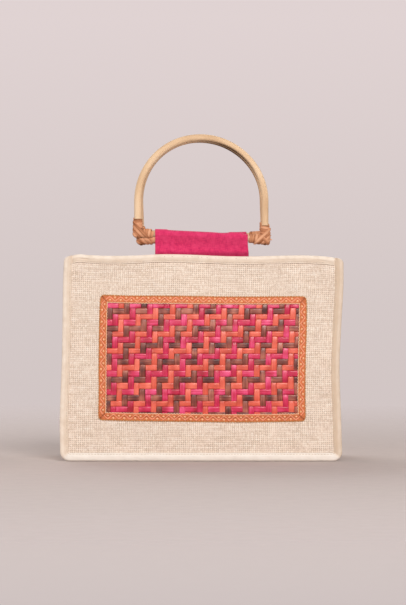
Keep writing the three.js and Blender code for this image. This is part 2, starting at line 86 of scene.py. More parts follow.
# Handles and sleeves
CANE_RADIUS = 3.75
BAR_RADIUS = 3.4
ARCH_RADIUS = 68.0
LASHING_UP = 15.8
LASHING_DOWN = 6.8
LASHING_ALONG = 16.0
SLEEVE_LENGTH = 99.0
SLEEVE_CLOTH = 1.0
SLEEVE_FIT = 0.3
SLEEVE_NECK = 12.0
SLEEVE_TAIL_FOOT = 208.0
SLEEVE_MIDDLE = HEM_BACK - GAP - SLEEVE_CLOTH - GAP / 2
HANDLES = [
    {
        "name": "front", "side": -1, "middle_x": 0.0, "bar_height": 240.0, "bar_rise": -7.1,
        "crown": 345.0, "lean": 0.0, "skew": 1.4, "left_girth": 1.07, "right_girth": 0.95, "darkening": 0.0,
    },
    {
        "name": "back", "side": 1, "middle_x": 1.5, "bar_height": 240.6, "bar_rise": 0.0,
        "crown": 349.0, "lean": math.radians(2.1), "skew": 2.3, "left_girth": 0.97, "right_girth": 1.03,
        # The back cane is drawn darker all over: partly a real difference between the canes, partly painted
        # shade for lying behind the front one
        "darkening": 0.08,
    },
]

# Slump of the standing bag
MOUTH_LEAN = 10.0
PANEL_BELLY = 3.5
GUSSET_FOLD = 28.0
FOLD_FOOT = 0.12
BASE_SAG = 3.0
WEB_EDGE = 55.0
MOUTH_WAVE_FOOT = 0.7
# How far the side edges lie to the right of upright, from the base to the mouth
SIDE_LINE = {
    "at": (0.0, 0.06, 0.2, 0.45, 0.65, 0.85, 1.0),
    "left": (0.0, 0.4, 0.0, 1.8, 2.6, 3.0, 4.1),
    "right": (-0.2, -1.2, -2.1, -3.7, -1.8, 0.6, 0.8),
}
# Rise of the mouth's line in front and behind, from the left corner to the right
MOUTH_LINE = {
    "at": (-1.0, -0.9, -0.82, -0.7, -0.5, -0.33, -0.15, 0.15, 0.3, 0.5, 0.68, 0.82, 0.92, 1.0),
    "front": (-2.7, 0.3, -0.4, -1.1, -0.9, 0.4, 0.3, -1.5, -1.8, -1.2, -0.7, -1.3, -2.8, -5.0),
    "back": (-3.5, -0.7, -0.5, -0.5, -0.4, -0.1, 0.1, 0.1, 0.0, -0.1, -0.2, -0.5, -0.9, -3.5),
}
DENTS = [
    {"x": -118.0, "z": 190.0, "reach": 15.0, "depth": 1.6},
    {"x": -126.0, "z": 30.0, "reach": 15.0, "depth": 1.4},
    {"x": 128.0, "z": 32.0, "reach": 15.0, "depth": 1.2},
    {"x": 128.0, "z": 188.0, "reach": 15.0, "depth": 1.0},
]
# Creases that run out from the corners of the trim
CREASES = [
    {"x": -101.0, "z": 195.0, "slope": 0.9, "length": 17.0, "width": 4.2, "depth": 0.7},
    {"x": -116.0, "z": 36.0, "slope": 0.55, "length": 19.0, "width": 4.6, "depth": 0.55},
    {"x": 117.0, "z": 190.0, "slope": -0.8, "length": 17.0, "width": 4.4, "depth": 0.55},
    {"x": 122.0, "z": 40.0, "slope": -0.7, "length": 18.0, "width": 4.4, "depth": 0.5},
]


def smoothstep(value, low, high):
    t = np.clip((value - low) / (high - low), 0, 1)
    return t * t * (3 - 2 * t)


def mix(a, b, share):
    return a + (b - a) * share


def hump(value, width):
    return np.exp(-((value / width) ** 2))


def unit(vectors):
    return vectors / np.linalg.norm(vectors, axis=-1, keepdims=True)


def stack(*coordinates):
    """Points from their coordinates, which may be grids, lines or single values."""
    return np.stack(np.broadcast_arrays(*coordinates), axis=-1)


def path_length(path):
    """The way along a path to each of its points."""
    return np.concatenate([[0], np.cumsum(np.linalg.norm(np.diff(path, axis=0), axis=1))])


def circle(count):
    """Angles round a full turn."""
    return np.arange(count) / count * 2 * math.pi


def table_value(table, column, at):
    """A smooth value from a table's column, with a curve through its rows."""
    places = np.array(table["at"])
    values = np.array(table[column])
    slopes = np.empty(len(places))
    slopes[1:-1] = (values[2:] - values[:-2]) / (places[2:] - places[:-2])
    slopes[0] = (values[1] - values[0]) / (places[1] - places[0])
    slopes[-1] = (values[-1] - values[-2]) / (places[-1] - places[-2])
    at = np.clip(at, places[0], places[-1])
    row = np.clip(np.searchsorted(places, at, side="left") - 1, 0, len(places) - 2)
    span = places[row + 1] - places[row]
    t = (at - places[row]) / span
    leave = t * (1 - t) ** 2 * span * slopes[row]
    arrive = t * t * (t - 1) * span * slopes[row + 1]
    return mix(values[row], values[row + 1], smoothstep(t, 0, 1)) + leave + arrive


def settle(x, y, z):
    """Where points of the flat pattern go on the standing bag."""
    x, y, z = np.broadcast_arrays(*(np.asarray(place, float) for place in (x, y, z)))
    across = np.clip(x / HALF_WIDTH, -1, 1)
    up = np.clip(z / BAG_HEIGHT, 0, 1)
    side = np.clip(y / WEB_EDGE, -1, 1)
    to_right = (across + 1) / 2
    to_back = (side + 1) / 2
    edge_shift = mix(table_value(SIDE_LINE, "left", up), table_value(SIDE_LINE, "right", up), to_right)
    fold = GUSSET_FOLD * smoothstep(up, FOLD_FOOT, 1) * np.cos(side * math.pi / 2) ** 2
    fold_share = smoothstep(np.abs(across), 0.5, 0.9)
    lean = MOUTH_LEAN * smoothstep(up, 0, 1)
    belly = PANEL_BELLY * np.cos(across * math.pi / 2) * np.sin(up * math.pi)
    dent = np.zeros_like(x)
    for row in DENTS:
        dent = dent + row["depth"] * hump(x - row["x"], row["reach"]) * hump(z - row["z"], row["reach"])
    for row in CREASES:
        tilt = math.atan(row["slope"])
        along = (x - row["x"]) * math.cos(tilt) + (z - row["z"]) * math.sin(tilt)
        beside = (z - row["z"]) * math.cos(tilt) - (x - row["x"]) * math.sin(tilt)
        dent = dent + row["depth"] * hump(along, row["length"]) * hump(beside, row["width"])
    mouth = mix(table_value(MOUTH_LINE, "front", across), table_value(MOUTH_LINE, "back", across), to_back)
    sag = BASE_SAG * (1 - side**2) * (1 - across**2) * (1 - smoothstep(up, 0, 0.1))
    return stack(
        x + edge_shift - np.sign(x) * fold * fold_share,
        y + side * (belly - lean - dent) + BACK_SHIFT,
        z + mouth * smoothstep(up, MOUTH_WAVE_FOOT, 1) - sag,
    )


def wander(at, step, seed):
    """Smooth noise from -1 to 1 along a line."""
    values = np.random.default_rng(seed).uniform(-1, 1, 4096)
    place = np.asarray(at, float) / step + 1024
    cell = np.floor(place).astype(int)
    return mix(values[cell % 4096], values[(cell + 1) % 4096], smoothstep(place - cell, 0, 1))


class Mesher:
    """Gathers points and faces of one piece."""

    def __init__(self):
        self.points = []
        self.flat = []
        self.tones = []
        self.faces = []
        self.slots = []

    def add(self, points, faces, flat, slot=0, tone=0.0):
        start = len(self.points)
        self.points += (points.reshape(-1, 3) * MM).tolist()
        count = len(self.points) - start
        self.flat += np.broadcast_to(flat, (count, 3)).tolist()
        self.tones += np.broadcast_to(tone, count).tolist()
        for group in faces:
            self.faces += (group + start).tolist()
            self.slots += [slot] * len(group)

    def add_wall(self, outer, inner, flat, slot=0, tone=0.0):
        """A closed wall between two grids of the same fineness, which share flat coordinates and tone."""
        points, faces = shell(outer, inner)
        tone = np.broadcast_to(tone, outer.shape[:2]).ravel()
        self.add(points, faces, np.tile(flat.reshape(-1, 3), (2, 1)), slot, np.tile(tone, 2))

    def make(self, name, materials):
        mesh = bpy.data.meshes.new(name)
        mesh.from_pydata(self.points, [], self.faces)
        mesh.shade_smooth()
        mesh.polygons.foreach_set("material_index", self.slots)
        mesh.attributes.new("flat", "FLOAT_VECTOR", "POINT").data.foreach_set("vector", np.ravel(self.flat))
        mesh.attributes.new("tone", "FLOAT", "POINT").data.foreach_set("value", self.tones)
        for material in materials:
            mesh.materials.append(material)
        piece = bpy.data.objects.new(name, mesh)
        bpy.context.scene.collection.objects.link(piece)
        return piece


def grid_faces(index):
    """Quads over a grid of point numbers."""
    return stack(index[:-1, :-1], index[:-1, 1:], index[1:, 1:], index[1:, :-1]).reshape(-1, 4)


def zip_edges(first, first_at, second, second_at):
    """Triangles between two edges whose points lie at given places along them."""
    i = j = 0
    triangles = []
    while i < len(first) - 1 or j < len(second) - 1:
        ahead = first_at[i + 1] if i < len(first) - 1 else math.inf
        other = second_at[j + 1] if j < len(second) - 1 else math.inf
        if ahead <= other:
            triangles.append((first[i + 1], first[i], second[j]))
            i += 1
        else:
            triangles.append((first[i], second[j], second[j + 1]))
            j += 1
    return triangles


def faced_out(points, faces):
    """The faces, turned round where they enclose a negative volume."""
    volume = 0.0
    for group in faces:
        for k in range(1, group.shape[1] - 1):
            a, b, c = (points[group[:, corner]] for corner in (0, k, k + 1))
            volume += (a * np.cross(b, c)).sum()
    return faces if volume > 0 else [group[:, ::-1] for group in faces]


def shell(outer, inner, rows_at=None, columns_at=None):
    """A closed cloth wall between two grids of points, which may be of different fineness.
    rows_at and columns_at give, for the outer and the inner grid, where their rows and columns lie."""
    points = np.concatenate([outer.reshape(-1, 3), inner.reshape(-1, 3)])
    numbers = np.arange(len(points))
    start = outer.shape[0] * outer.shape[1]
    first = numbers[:start].reshape(outer.shape[:2])
    second = numbers[start:].reshape(inner.shape[:2])
    rows_at = rows_at or [np.linspace(0, 1, grid.shape[0]) for grid in (outer, inner)]
    columns_at = columns_at or [np.linspace(0, 1, grid.shape[1]) for grid in (outer, inner)]
    rim = zip_edges(first[0], columns_at[0], second[0], columns_at[1])
    rim += zip_edges(first[:, -1], rows_at[0], second[:, -1], rows_at[1])
    rim += zip_edges(first[-1, ::-1], -columns_at[0][::-1], second[-1, ::-1], -columns_at[1][::-1])
    rim += zip_edges(first[::-1, 0], -rows_at[0][::-1], second[::-1, 0], -rows_at[1][::-1])
    quads = np.concatenate([grid_faces(first), grid_faces(second)[:, ::-1]])
    return points, faced_out(points, [quads, np.array(rim)])


def ring_faces(rows, sides, looped=False):
    """Quads round a tube and, unless it is looped, fans to a middle point at each of its ends."""
    index = np.arange(rows * sides).reshape(rows, sides)
    beside = np.roll(index, -1, axis=1)
    quads = stack(index, beside, np.roll(beside, -1, axis=0), np.roll(index, -1, axis=0))
    if looped:
        return [quads.reshape(-1, 4)]
    start_cap = stack(rows * sides, beside[0], index[0])
    end_cap = stack(rows * sides + 1, index[-1], beside[-1])
    return [quads[:-1].reshape(-1, 4), np.concatenate([start_cap, end_cap])]


def tangents(path, looped=False):
    if looped:
        return unit(np.roll(path, -1, axis=0) - np.roll(path, 1, axis=0))
    return unit(np.gradient(path, axis=0))


def sweep(path, across, half_width, half_thick, sides=8, looped=False):
    """A strand along a path, with an oval section whose width lies along the across direction. Also gives
    every point's place along the path and round the section."""
    along = tangents(path, looped)
    wide = unit(across - (across * along).sum(axis=1, keepdims=True) * along)
    thick = np.cross(along, wide)
    cos, sin = np.cos(circle(sides)), np.sin(circle(sides))
    half_width = np.broadcast_to(half_width, len(path))[:, None, None]
    half_thick = np.broadcast_to(half_thick, len(path))[:, None, None]
    ring = path[:, None] + half_width * cos[:, None] * wide[:, None]
    ring = ring + half_thick * sin[:, None] * thick[:, None]
    length = path_length(path)
    points = ring.reshape(-1, 3)
    faces = ring_faces(len(path), sides, looped)
    flat = stack(length[:, None], cos, sin).reshape(-1, 3)
    if looped:
        return points, faces, flat
    ends = [[0, 0, 0], [length[-1], 0, 0]]
    return np.concatenate([points, path[[0, -1]]]), faces, np.concatenate([flat, ends])


def capsules(starts, ends, out, radius, height, rings=5, sides=6):
    """Many short thread ends: flattened capsules from starts to ends, with their height along out."""
    along = unit(ends - starts)
    out = unit(out - (out * along).sum(axis=1, keepdims=True) * along)
    wide = np.cross(out, along)
    share = (1 - np.cos(np.linspace(0.12, 0.88, rings) * math.pi)) / 2
    swell = np.sqrt(1 - (2 * share - 1) ** 4)[:, None, None]
    cos, sin = np.cos(circle(sides))[:, None], np.sin(circle(sides))[:, None]
    middle = mix(starts[:, None], ends[:, None], share[:, None])[:, :, None]
    ring = middle + swell * (cos * radius * wide[:, None, None] + sin * height * out[:, None, None])
    points = np.concatenate([ring.reshape(len(starts), -1, 3), starts[:, None], ends[:, None]], axis=1)
    offsets = (np.arange(len(starts)) * points.shape[1])[:, None, None]
    faces = [(group + offsets).reshape(-1, group.shape[1]) for group in ring_faces(rings, sides)]
    return points.reshape(-1, 3), faces


# Materials


class Shader:
    """The nodes of a material or a world. Values that are given as sockets are linked, and others are set."""

    def __init__(self, owner):
        owner.use_nodes = True
        self.owner = owner
        self.tree = owner.node_tree

    def node(self, kind, inputs=None, **settings):
        made = self.tree.nodes.new(kind)
        for key, value in settings.items():
            setattr(made, key, value)
        for key, value in (inputs or {}).items():
            self.put(made.inputs[key], value)
        return made

    def put(self, socket, value):
        if isinstance(value, bpy.types.NodeSocket):
            self.tree.links.new(value, socket)
        else:
            socket.default_value = value

    def set(self, **values):
        surface = self.tree.nodes["Principled BSDF"]
        for key, value in values.items():
            self.put(surface.inputs[key.replace("_", " ")], value)

    def cloth(self, colour, roughness, specular, sheen, sheen_roughness):
        self.set(Base_Color=colour, Roughness=roughness, Specular_IOR_Level=specular)
        self.set(Sheen_Weight=sheen, Sheen_Roughness=sheen_roughness)

    def math(self, operation, a, b=0.0, clamp=False):
        made = self.node("ShaderNodeMath", {0: a, 1: b}, operation=operation, use_clamp=clamp)
        return made.outputs[0]

    def times(self, a, b):
        return self.math("MULTIPLY", a, b)

    def plus(self, a, b):
        return self.math("ADD", a, b)

    def weighed(self, *terms):
        """The sum of values, each times its weight."""
        total = self.times(*terms[0])
        for value, weight in terms[1:]:
            total = self.plus(total, self.times(value, weight))
        return total

    def wave(self, value, rate, kind="SINE"):
        return self.math(kind, self.times(value, rate))

    def flat(self):
        return self.node("ShaderNodeAttribute", attribute_name="flat").outputs["Vector"]

    def tone(self):
        return self.node("ShaderNodeAttribute", attribute_name="tone").outputs["Fac"]

    def shaded(self, colour, factor):
        """A colour made lighter or darker."""
        inputs = {0: colour, "Scale": factor}
        return self.node("ShaderNodeVectorMath", inputs, operation="SCALE").outputs[0]

    def parts(self, vector):
        return self.node("ShaderNodeSeparateXYZ", {0: vector}).outputs

    def noise(self, vector, scale, detail, roughness=0.5):
        """Noise of one scale, or of a scale along each axis."""
        if isinstance(scale, tuple):
            vector = self.node("ShaderNodeVectorMath", {0: vector, 1: scale}, operation="MULTIPLY").outputs[0]
            scale = 1.0
        inputs = {"Vector": vector, "Scale": scale, "Detail": detail, "Roughness": roughness}
        return self.node("ShaderNodeTexNoise", inputs).outputs["Fac"]

    def ramp(self, factor, stops):
        made = self.node("ShaderNodeValToRGB", {"Fac": factor})
        elements = made.color_ramp.elements
        while len(elements) < len(stops):
            elements.new(0.5)
        for element, (place, colour) in zip(elements, stops):
            element.position = place
            element.color = (*colour, 1)
        return made.outputs["Color"]

    def span(self, value, low, high, to_low=0.0, to_high=1.0):
        inputs = {0: value, 1: low, 2: high, 3: to_low, 4: to_high}
        return self.node("ShaderNodeMapRange", inputs).outputs[0]

    def blend(self, factor, a, b):
        made = self.node("ShaderNodeMix", data_type="RGBA")
        self.put(made.inputs[0], factor)
        for socket, value in ((made.inputs[6], a), (made.inputs[7], b)):
            self.put(socket, value if isinstance(value, bpy.types.NodeSocket) else (*value, 1))
        return made.outputs[2]

    def bump(self, height, distance, strength):
        inputs = {"Height": height, "Distance": distance, "Strength": strength}
        self.set(Normal=self.node("ShaderNodeBump", inputs).outputs[0])


def material(name):
    return Shader(bpy.data.materials.new(name))


def jute_material():
    """Plain-woven jute: pale uneven threads with darker gaps between them. flat counts threads."""
    s = material("jute")
    flat = s.flat()
    u, v, _ = s.parts(flat)
    turn = 2 * math.pi
    weave = s.times(s.plus(s.wave(u, turn, "COSINE"), s.wave(v, turn, "COSINE")), 0.5)
    over = s.times(s.wave(u, math.pi, "COSINE"), s.wave(v, math.pi, "COSINE"))
    warp_tone = s.noise(flat, (1.2, 0.36, 1.2), 1.0)
    weft_tone = s.noise(flat, (0.12, 1.2, 1.2), 1.0)
    warp_fibre = s.noise(flat, (13.0, 1.6, 1.0), 2.0)
    weft_fibre = s.noise(flat, (1.6, 13.0, 1.0), 2.0)
    warp_up = s.span(over, -0.3, 0.3)
    tone = s.blend(warp_up, weft_tone, warp_tone)
    fibre = s.blend(warp_up, weft_fibre, warp_fibre)
    thread = s.ramp(
        s.weighed((tone, 0.75), (fibre, 0.25)),
        [(0.34, (0.72, 0.57, 0.45)), (0.5, (0.885, 0.735, 0.615)), (0.66, (0.97, 0.86, 0.755))],
    )
    # The gaps between threads are painted darker: painted shade in the holes and hollows of the weave
    gap = s.span(weave, 0.1, -0.9)
    depth = s.span(s.noise(flat, 0.4, 1.0), 0.3, 0.7, 0.3, 0.75)
    woven = s.blend(s.times(gap, depth), thread, (0.36, 0.235, 0.17))
    patch = s.span(s.noise(flat, 0.05, 3.0), 0.3, 0.7, 0.95, 1.04)
    s.cloth(s.shaded(woven, patch), 0.92, 0.2, 0.15, 0.5)
    s.bump(s.plus(weave, s.times(fibre, 0.9)), 0.0003, 0.7)
    return s.owner


def tape_material():
    """Cream cotton tape with a fine weave. Its tone darkens it below zero and lightens it above zero:
    the base's tape is painted light, the seams' inner halves painted shade.
    """
    s = material("tape")
    flat = s.flat()
    u, v, _ = s.parts(flat)
    rate = 2 * math.pi / 0.9 * 0.7
    weave = s.times(s.wave(s.plus(u, v), rate), s.wave(s.math("SUBTRACT", u, v), rate))
    colour = s.ramp(
        s.plus(s.noise(flat, 0.11, 3.0), s.times(weave, 0.06)),
        [(0.25, (0.80, 0.66, 0.535)), (0.5, (0.90, 0.765, 0.645)), (0.75, (0.955, 0.845, 0.735))],
    )
    # Below zero the tone darkens the tape, which on the seams' inner halves is painted shade; above zero it
    # lightens it, which on the base's tape is painted light
    colour = s.blend(s.math("MULTIPLY", s.tone(), -1.0, clamp=True), colour, (0.62, 0.45, 0.31))
    colour = s.blend(s.math("MULTIPLY", s.tone(), 1.0, clamp=True), colour, (0.97, 0.93, 0.88))
    s.cloth(colour, 0.9, 0.2, 0.1, 0.5)
    s.bump(s.plus(s.times(weave, 0.6), s.noise(flat, 1.2, 2.0)), 0.00015, 0.6)
    return s.owner


def thread_material(name, colour):
    s = material(name)
    darker = tuple(c * 0.75 for c in colour)
    tone = s.ramp(s.noise(s.flat(), 0.8, 2.0), [(0.3, darker), (0.7, colour)])
    s.set(Base_Color=tone, Roughness=0.8, Specular_IOR_Level=0.3)
    return s.owner


def strip_material(name, dark, middle, light):
    """Dyed strips with streaks and a satin surface. flat is along, across and the strip's number."""
    s = material(name)
    flat = s.flat()
    streak = s.noise(flat, (0.035, 2.6, 7.3), 3.0, 0.6)
    patch = s.noise(flat, (0.085, 0.1, 3.1), 1.0)
    own = s.noise(flat, (0.0, 0.0, 11.7), 0.0)
    tone = s.weighed((streak, 0.3), (patch, 0.5), (own, 0.2))
    s.set(
        Base_Color=s.ramp(tone, [(0.38, dark), (0.5, middle), (0.62, light)]),
        Roughness=s.span(streak, 0.3, 0.7, 0.38, 0.3),
        Specular_IOR_Level=0.5,
        Coat_Weight=0.14,
        Coat_Roughness=0.3,
    )
    s.bump(streak, 0.0001, 0.5)
    return s.owner


def braid_material(name, dark, light, rate):
    """Plied braid yarn. Its tone shades it."""
    s = material(name)
    flat = s.flat()
    u, v, _ = s.parts(flat)
    ply = s.wave(s.plus(u, s.times(v, 1.3)), rate)
    tone = s.plus(s.times(ply, 0.18), s.noise(flat, 1.7, 3.0))
    colour = s.ramp(tone, [(0.3, dark), (0.7, light)])
    s.cloth(s.shaded(colour, s.plus(s.tone(), 1.0)), 0.65, 0.35, 0.2, 0.4)
    s.bump(tone, 0.0003, 0.8)
    return s.owner


def sleeve_material():
    """Pink hand-woven cotton with a visible plain weave. flat is in millimetres, and the tone shades it."""
    s = material("sleeve")
    flat = s.flat()
    u, v, _ = s.parts(flat)
    rate = 2 * math.pi / 0.85
    weave = s.times(s.wave(u, rate), s.wave(v, rate))
    warp_tone = s.noise(flat, (1.1, 0.2, 1.0), 1.0)
    weft_tone = s.noise(flat, (0.2, 1.1, 1.0), 1.0)
    cloud = s.noise(flat, 0.16, 3.0)
    tone = s.weighed((warp_tone, 0.3), (weft_tone, 0.3), (cloud, 0.4), (weave, 0.05))
    colour = s.ramp(
        tone, [(0.34, (0.65, 0.023, 0.115)), (0.5, (0.83, 0.042, 0.162)), (0.66, (0.90, 0.068, 0.21))]
    )
    s.cloth(s.shaded(colour, s.plus(s.tone(), 1.0)), 0.85, 0.2, 0.2, 0.4)
    s.bump(s.plus(weave, tone), 0.0002, 0.7)
    return s.owner


# Deep brown that the cane's tone darkens it towards: painted shade inside the arch's bend, the darker back
# cane and the right lashings
SHADE_AND_BROWNING_COLOUR = (0.075, 0.032, 0.012)


def cane_material(name, dark, middle, light, roughness):
    """Peeled cane: long fine fibres and slow changes of tone. flat is along and round the stem, and the tone
    says how much darker it is drawn: painted shade inside the arch's bend, partly painted shade over the
    back cane, and an even darkening of the right lashings."""
    s = material(name)
    flat = s.flat()
    fibre = s.noise(flat, (0.03, 5.0, 5.0), 3.0, 0.6)
    slow = s.noise(flat, (0.02, 0.4, 0.4), 2.0)
    colour = s.ramp(s.weighed((fibre, 0.2), (slow, 0.8)), [(0.34, dark), (0.5, middle), (0.66, light)])
    s.set(
        Base_Color=s.blend(s.tone(), colour, SHADE_AND_BROWNING_COLOUR),
        Roughness=s.span(fibre, 0.3, 0.7, roughness + 0.08, roughness - 0.05),
        Specular_IOR_Level=0.1,
    )
    s.bump(fibre, 0.0001, 0.15)
    return s.owner


JUTE_CLOTH = jute_material()
TAPE_CLOTH = tape_material()
SEWING_THREAD = thread_material("sewing_thread", (0.78, 0.65, 0.53))
PINK_THREAD = thread_material("pink_thread", (0.62, 0.34, 0.31))
STRIPS = [
    strip_material("strip_pink", (0.38, 0.004, 0.024), (0.64, 0.015, 0.080), (0.88, 0.09, 0.24)),
    strip_material("strip_orange", (0.58, 0.065, 0.036), (0.77, 0.108, 0.062), (0.92, 0.19, 0.125)),
    strip_material("strip_brown", (0.07, 0.007, 0.006), (0.245, 0.047, 0.029), (0.55, 0.175, 0.115)),
]
BRAIDS = [
    braid_material("braid", (0.50, 0.099, 0.026), (0.85, 0.271, 0.105), 4.2),
    braid_material("braid_zigzag", (0.90, 0.285, 0.145), (0.98, 0.43, 0.27), 6.0),
    braid_material("braid_dot", (0.92, 0.42, 0.21), (0.98, 0.58, 0.34), 6.0),
    braid_material("braid_loop", (0.46, 0.18, 0.04), (0.80, 0.36, 0.12), 6.0),
    braid_material("braid_picot", (0.94, 0.48, 0.27), (1.0, 0.70, 0.48), 6.0),
]
SLEEVE_COTTON = sleeve_material()
CANE = cane_material("cane", (0.66, 0.43, 0.255), (0.79, 0.55, 0.345), (0.88, 0.65, 0.44), 0.64)
LASHINGS = [
    cane_material("lashing", (0.36, 0.135, 0.060), (0.64, 0.28, 0.145), (0.84, 0.44, 0.26), 0.52),
    cane_material("lashing_core", (0.16, 0.06, 0.025), (0.26, 0.11, 0.05), (0.36, 0.17, 0.09), 0.6),
]

# Jute walls

THREAD = 2.2  # from one jute thread to the next
RELIEF = 0.26  # how far the threads stand out
INNER_STEP = 6.0  # between stations on the gusset's inner face


def top_round(down):
    """How far the seam's edge draws in, a distance below the mouth, to round its top corners."""
    up = np.clip(TOP_RADIUS - down, 0, TOP_RADIUS)
    return TOP_RADIUS - np.sqrt(TOP_RADIUS**2 - up**2)


def jute_relief(rows, columns, seed):
    """Heights on a grid with two points a thread: crossings stand out and gaps lie back."""
    rng = np.random.default_rng(seed)
    warp = rng.uniform(0.5, 1.5, columns)[None, :]
    weft = rng.uniform(0.5, 1.5, rows)[:, None]
    i = np.arange(columns)[None, :]
    j = np.arange(rows)[:, None]
    on_thread = (i % 2 == 0) & (j % 2 == 0)
    in_gap = (i % 2 == 1) & (j % 2 == 1)
    warp_over = (i // 2 + j // 2) % 2 == 0
    height = np.where(warp_over, warp, weft)
    return RELIEF * np.where(on_thread, height, np.where(in_gap, -1.0, 0.0))


def panel_points(rows, columns, side, face, relief=0.0):
    """A panel's grid of points on one of its faces, with rounded corners."""
    radius = CORNER_RADIUS - RAW_EDGE
    z = np.linspace(RAW_EDGE, CLOTH_TOP, rows)[:, None]
    drop = np.clip(radius - (z - RAW_EDGE), 0, radius)
    half = HALF_WIDTH - CORNER_RADIUS + np.sqrt(radius**2 - drop**2) - top_round(BAG_HEIGHT - z)
    return settle(np.linspace(-1, 1, columns) * half, side * (face + relief), z)


def jute_panel(name, side, seed):
    edge = HALF_WIDTH - RAW_EDGE
    columns = 2 * round(2 * edge / THREAD) + 1
    rows = 2 * round((CLOTH_TOP - RAW_EDGE) / THREAD) + 1
    inner_columns, inner_rows = 51, 41
    outer = panel_points(rows, columns, side, PANEL_FACE, jute_relief(rows, columns, seed))
    inner = panel_points(inner_rows, inner_columns, side, PANEL_BACK)
    points, faces = shell(outer, inner)
    inner_x = np.linspace(-edge, edge, inner_columns)
    inner_z = np.linspace(RAW_EDGE, CLOTH_TOP, inner_rows)[:, None]
    outer_flat = stack(np.arange(columns) / 2, np.arange(rows)[:, None] / 2, side)
    inner_flat = stack(inner_x / THREAD, inner_z / THREAD, side)
    mesher = Mesher()
    mesher.add(points, faces, np.concatenate([outer_flat.reshape(-1, 3), inner_flat.reshape(-1, 3)]))
    return mesher.make(f"{name}_panel_cloth", [JUTE_CLOTH])


# A seam's outline: points on it, the way out of the panel and the length along it
SeamPath = collections.namedtuple("SeamPath", "x z out_x out_z length")


def seam_path(top, step, more_down=()):
    """Stations along a side seam: down the left side, round the base and up the right side, with more of
    them at given distances below the top."""
    straight = HALF_WIDTH - CORNER_RADIUS

    def count(length):
        return max(2, round(length / step))

    side_z = np.linspace(top, CORNER_RADIUS, count(top - CORNER_RADIUS), endpoint=False)
    side_z = np.unique(np.concatenate([side_z, top - np.asarray(more_down)]))[::-1]
    turn = np.linspace(0, math.pi / 2, 2 * count(CORNER_RADIUS * math.pi / 2), endpoint=False)
    base_x = np.linspace(-straight, straight, count(2 * straight), endpoint=False)
    # Middles of the corner's circle as it is moved along, with the angle that points out of the panel
    stretches = [
        (-straight, side_z, math.pi),
        (-straight, CORNER_RADIUS, math.pi + turn),
        (base_x, CORNER_RADIUS, 1.5 * math.pi),
        (straight, CORNER_RADIUS, 1.5 * math.pi + turn),
        (straight, np.append(CORNER_RADIUS, side_z[::-1]), 2 * math.pi),
    ]
    middle_x, middle_z, angle = np.concatenate([stack(*stretch) for stretch in stretches]).T
    out_x = np.cos(angle)
    out_z = np.sin(angle)
    x = middle_x + CORNER_RADIUS * out_x
    z = middle_z + CORNER_RADIUS * out_z
    return SeamPath(x, z, out_x, out_z, path_length(stack(x, z)))


def at_seam(path, inside, y):
    """Points that lie a distance inside the seam's outline, at depth y. Rows run along the seam."""
    x, z, out_x, out_z = (values[:, None] for values in path[:4])
    return settle(x - out_x * inside, y, z - out_z * inside)


def gusset_cloth():
    """The strip down the left side, along the base and up the right side, its edges turned out."""
    fine = seam_path(CLOTH_TOP, THREAD / 2)
    coarse = seam_path(CLOTH_TOP, INNER_STEP)
    columns = 2 * round(2 * FLANGE_BACK / THREAD) + 1
    web = np.linspace(-FLANGE_BACK, FLANGE_BACK, columns)
    inner_web = np.linspace(-FLANGE_FACE, FLANGE_FACE, 25)
    relief = jute_relief(len(fine.x), columns, 31) * smoothstep(FLANGE_BACK - np.abs(web), 0.0, 2.0)

    def face(path, y, inside):
        tip = (RAW_EDGE + top_round(BAG_HEIGHT - path.z))[:, None]
        inside = np.broadcast_to(inside, (len(path.x), len(y)))
        return at_seam(path, np.hstack([tip, inside, tip]), np.pad(y, 1, mode="edge"))

    beyond = FLANGE_FACE + SEAM_WIDTH
    places = np.pad(web, 1, constant_values=(-beyond, beyond))
    inner_places = np.pad(inner_web, 1, constant_values=(-beyond, beyond))
    points, faces = shell(
        face(fine, web, SEAM_WIDTH - relief),
        face(coarse, inner_web, SEAM_WIDTH + JUTE),
        rows_at=[path.length / path.length[-1] for path in (fine, coarse)],
        columns_at=[places, inner_places],
    )
    threads = np.pad(np.arange(columns) / 2, 1, constant_values=(-3.0, columns / 2 + 3.0))
    flat = stack(np.arange(len(fine.x))[:, None] / 2, threads, 5.0)
    inner_flat = stack(coarse.length[:, None] / THREAD, inner_places / THREAD, 5.0)
    mesher = Mesher()
    mesher.add(points, faces, np.concatenate([flat.reshape(-1, 3), inner_flat.reshape(-1, 3)]))
    return mesher.make("gusset_cloth", [JUTE_CLOTH])


# Tape over the seams and round the mouth

STITCH = 2.5
STITCH_SPACE = 3.3
STITCH_RADIUS = 0.26
STITCH_INSIDE = 1.5  # from the tape's edge
SEAM_STITCH_END = 4.9  # from the tape's end
HEM_STITCH_END = 8.9
HEM_STITCH_Z = BAG_HEIGHT - HEM_HEIGHT + STITCH_INSIDE
# How much lighter the tape is drawn, and below zero how much darker: painted light along the base and painted
# shade on the seams' inner halves; the other values darken parts of the tape
BASE_TAPE_PAINTED_LIGHT = 0.6
NOSE_TAPE_TONE = -0.05
INNER_TAPE_PAINTED_SHADE = -0.3
RIGHT_TAPE_FADE = -0.4
HEM_TOP_TONE = 0.0
HEM_BAND_TONE = -0.33
GUSSET_HEM_TONE = -0.15
HEM_TUCK = 1.2  # how far a hem's end dives under the seam tape
HEM_UNDER = 3.0  # how far a hem runs on under the seam tape
SEAM_STEP = 2.5  # between stations along a seam's tape
HEM_STATIONS = 131
CORNER_BLEND = 4.0  # half the length over which a seam tape's tone changes at a corner
PINK_STITCH = 0.9
PINK_SPACE = 5.2
PINK_RADIUS = 0.24
PINK_DOWN = 2.2  # below the mouth
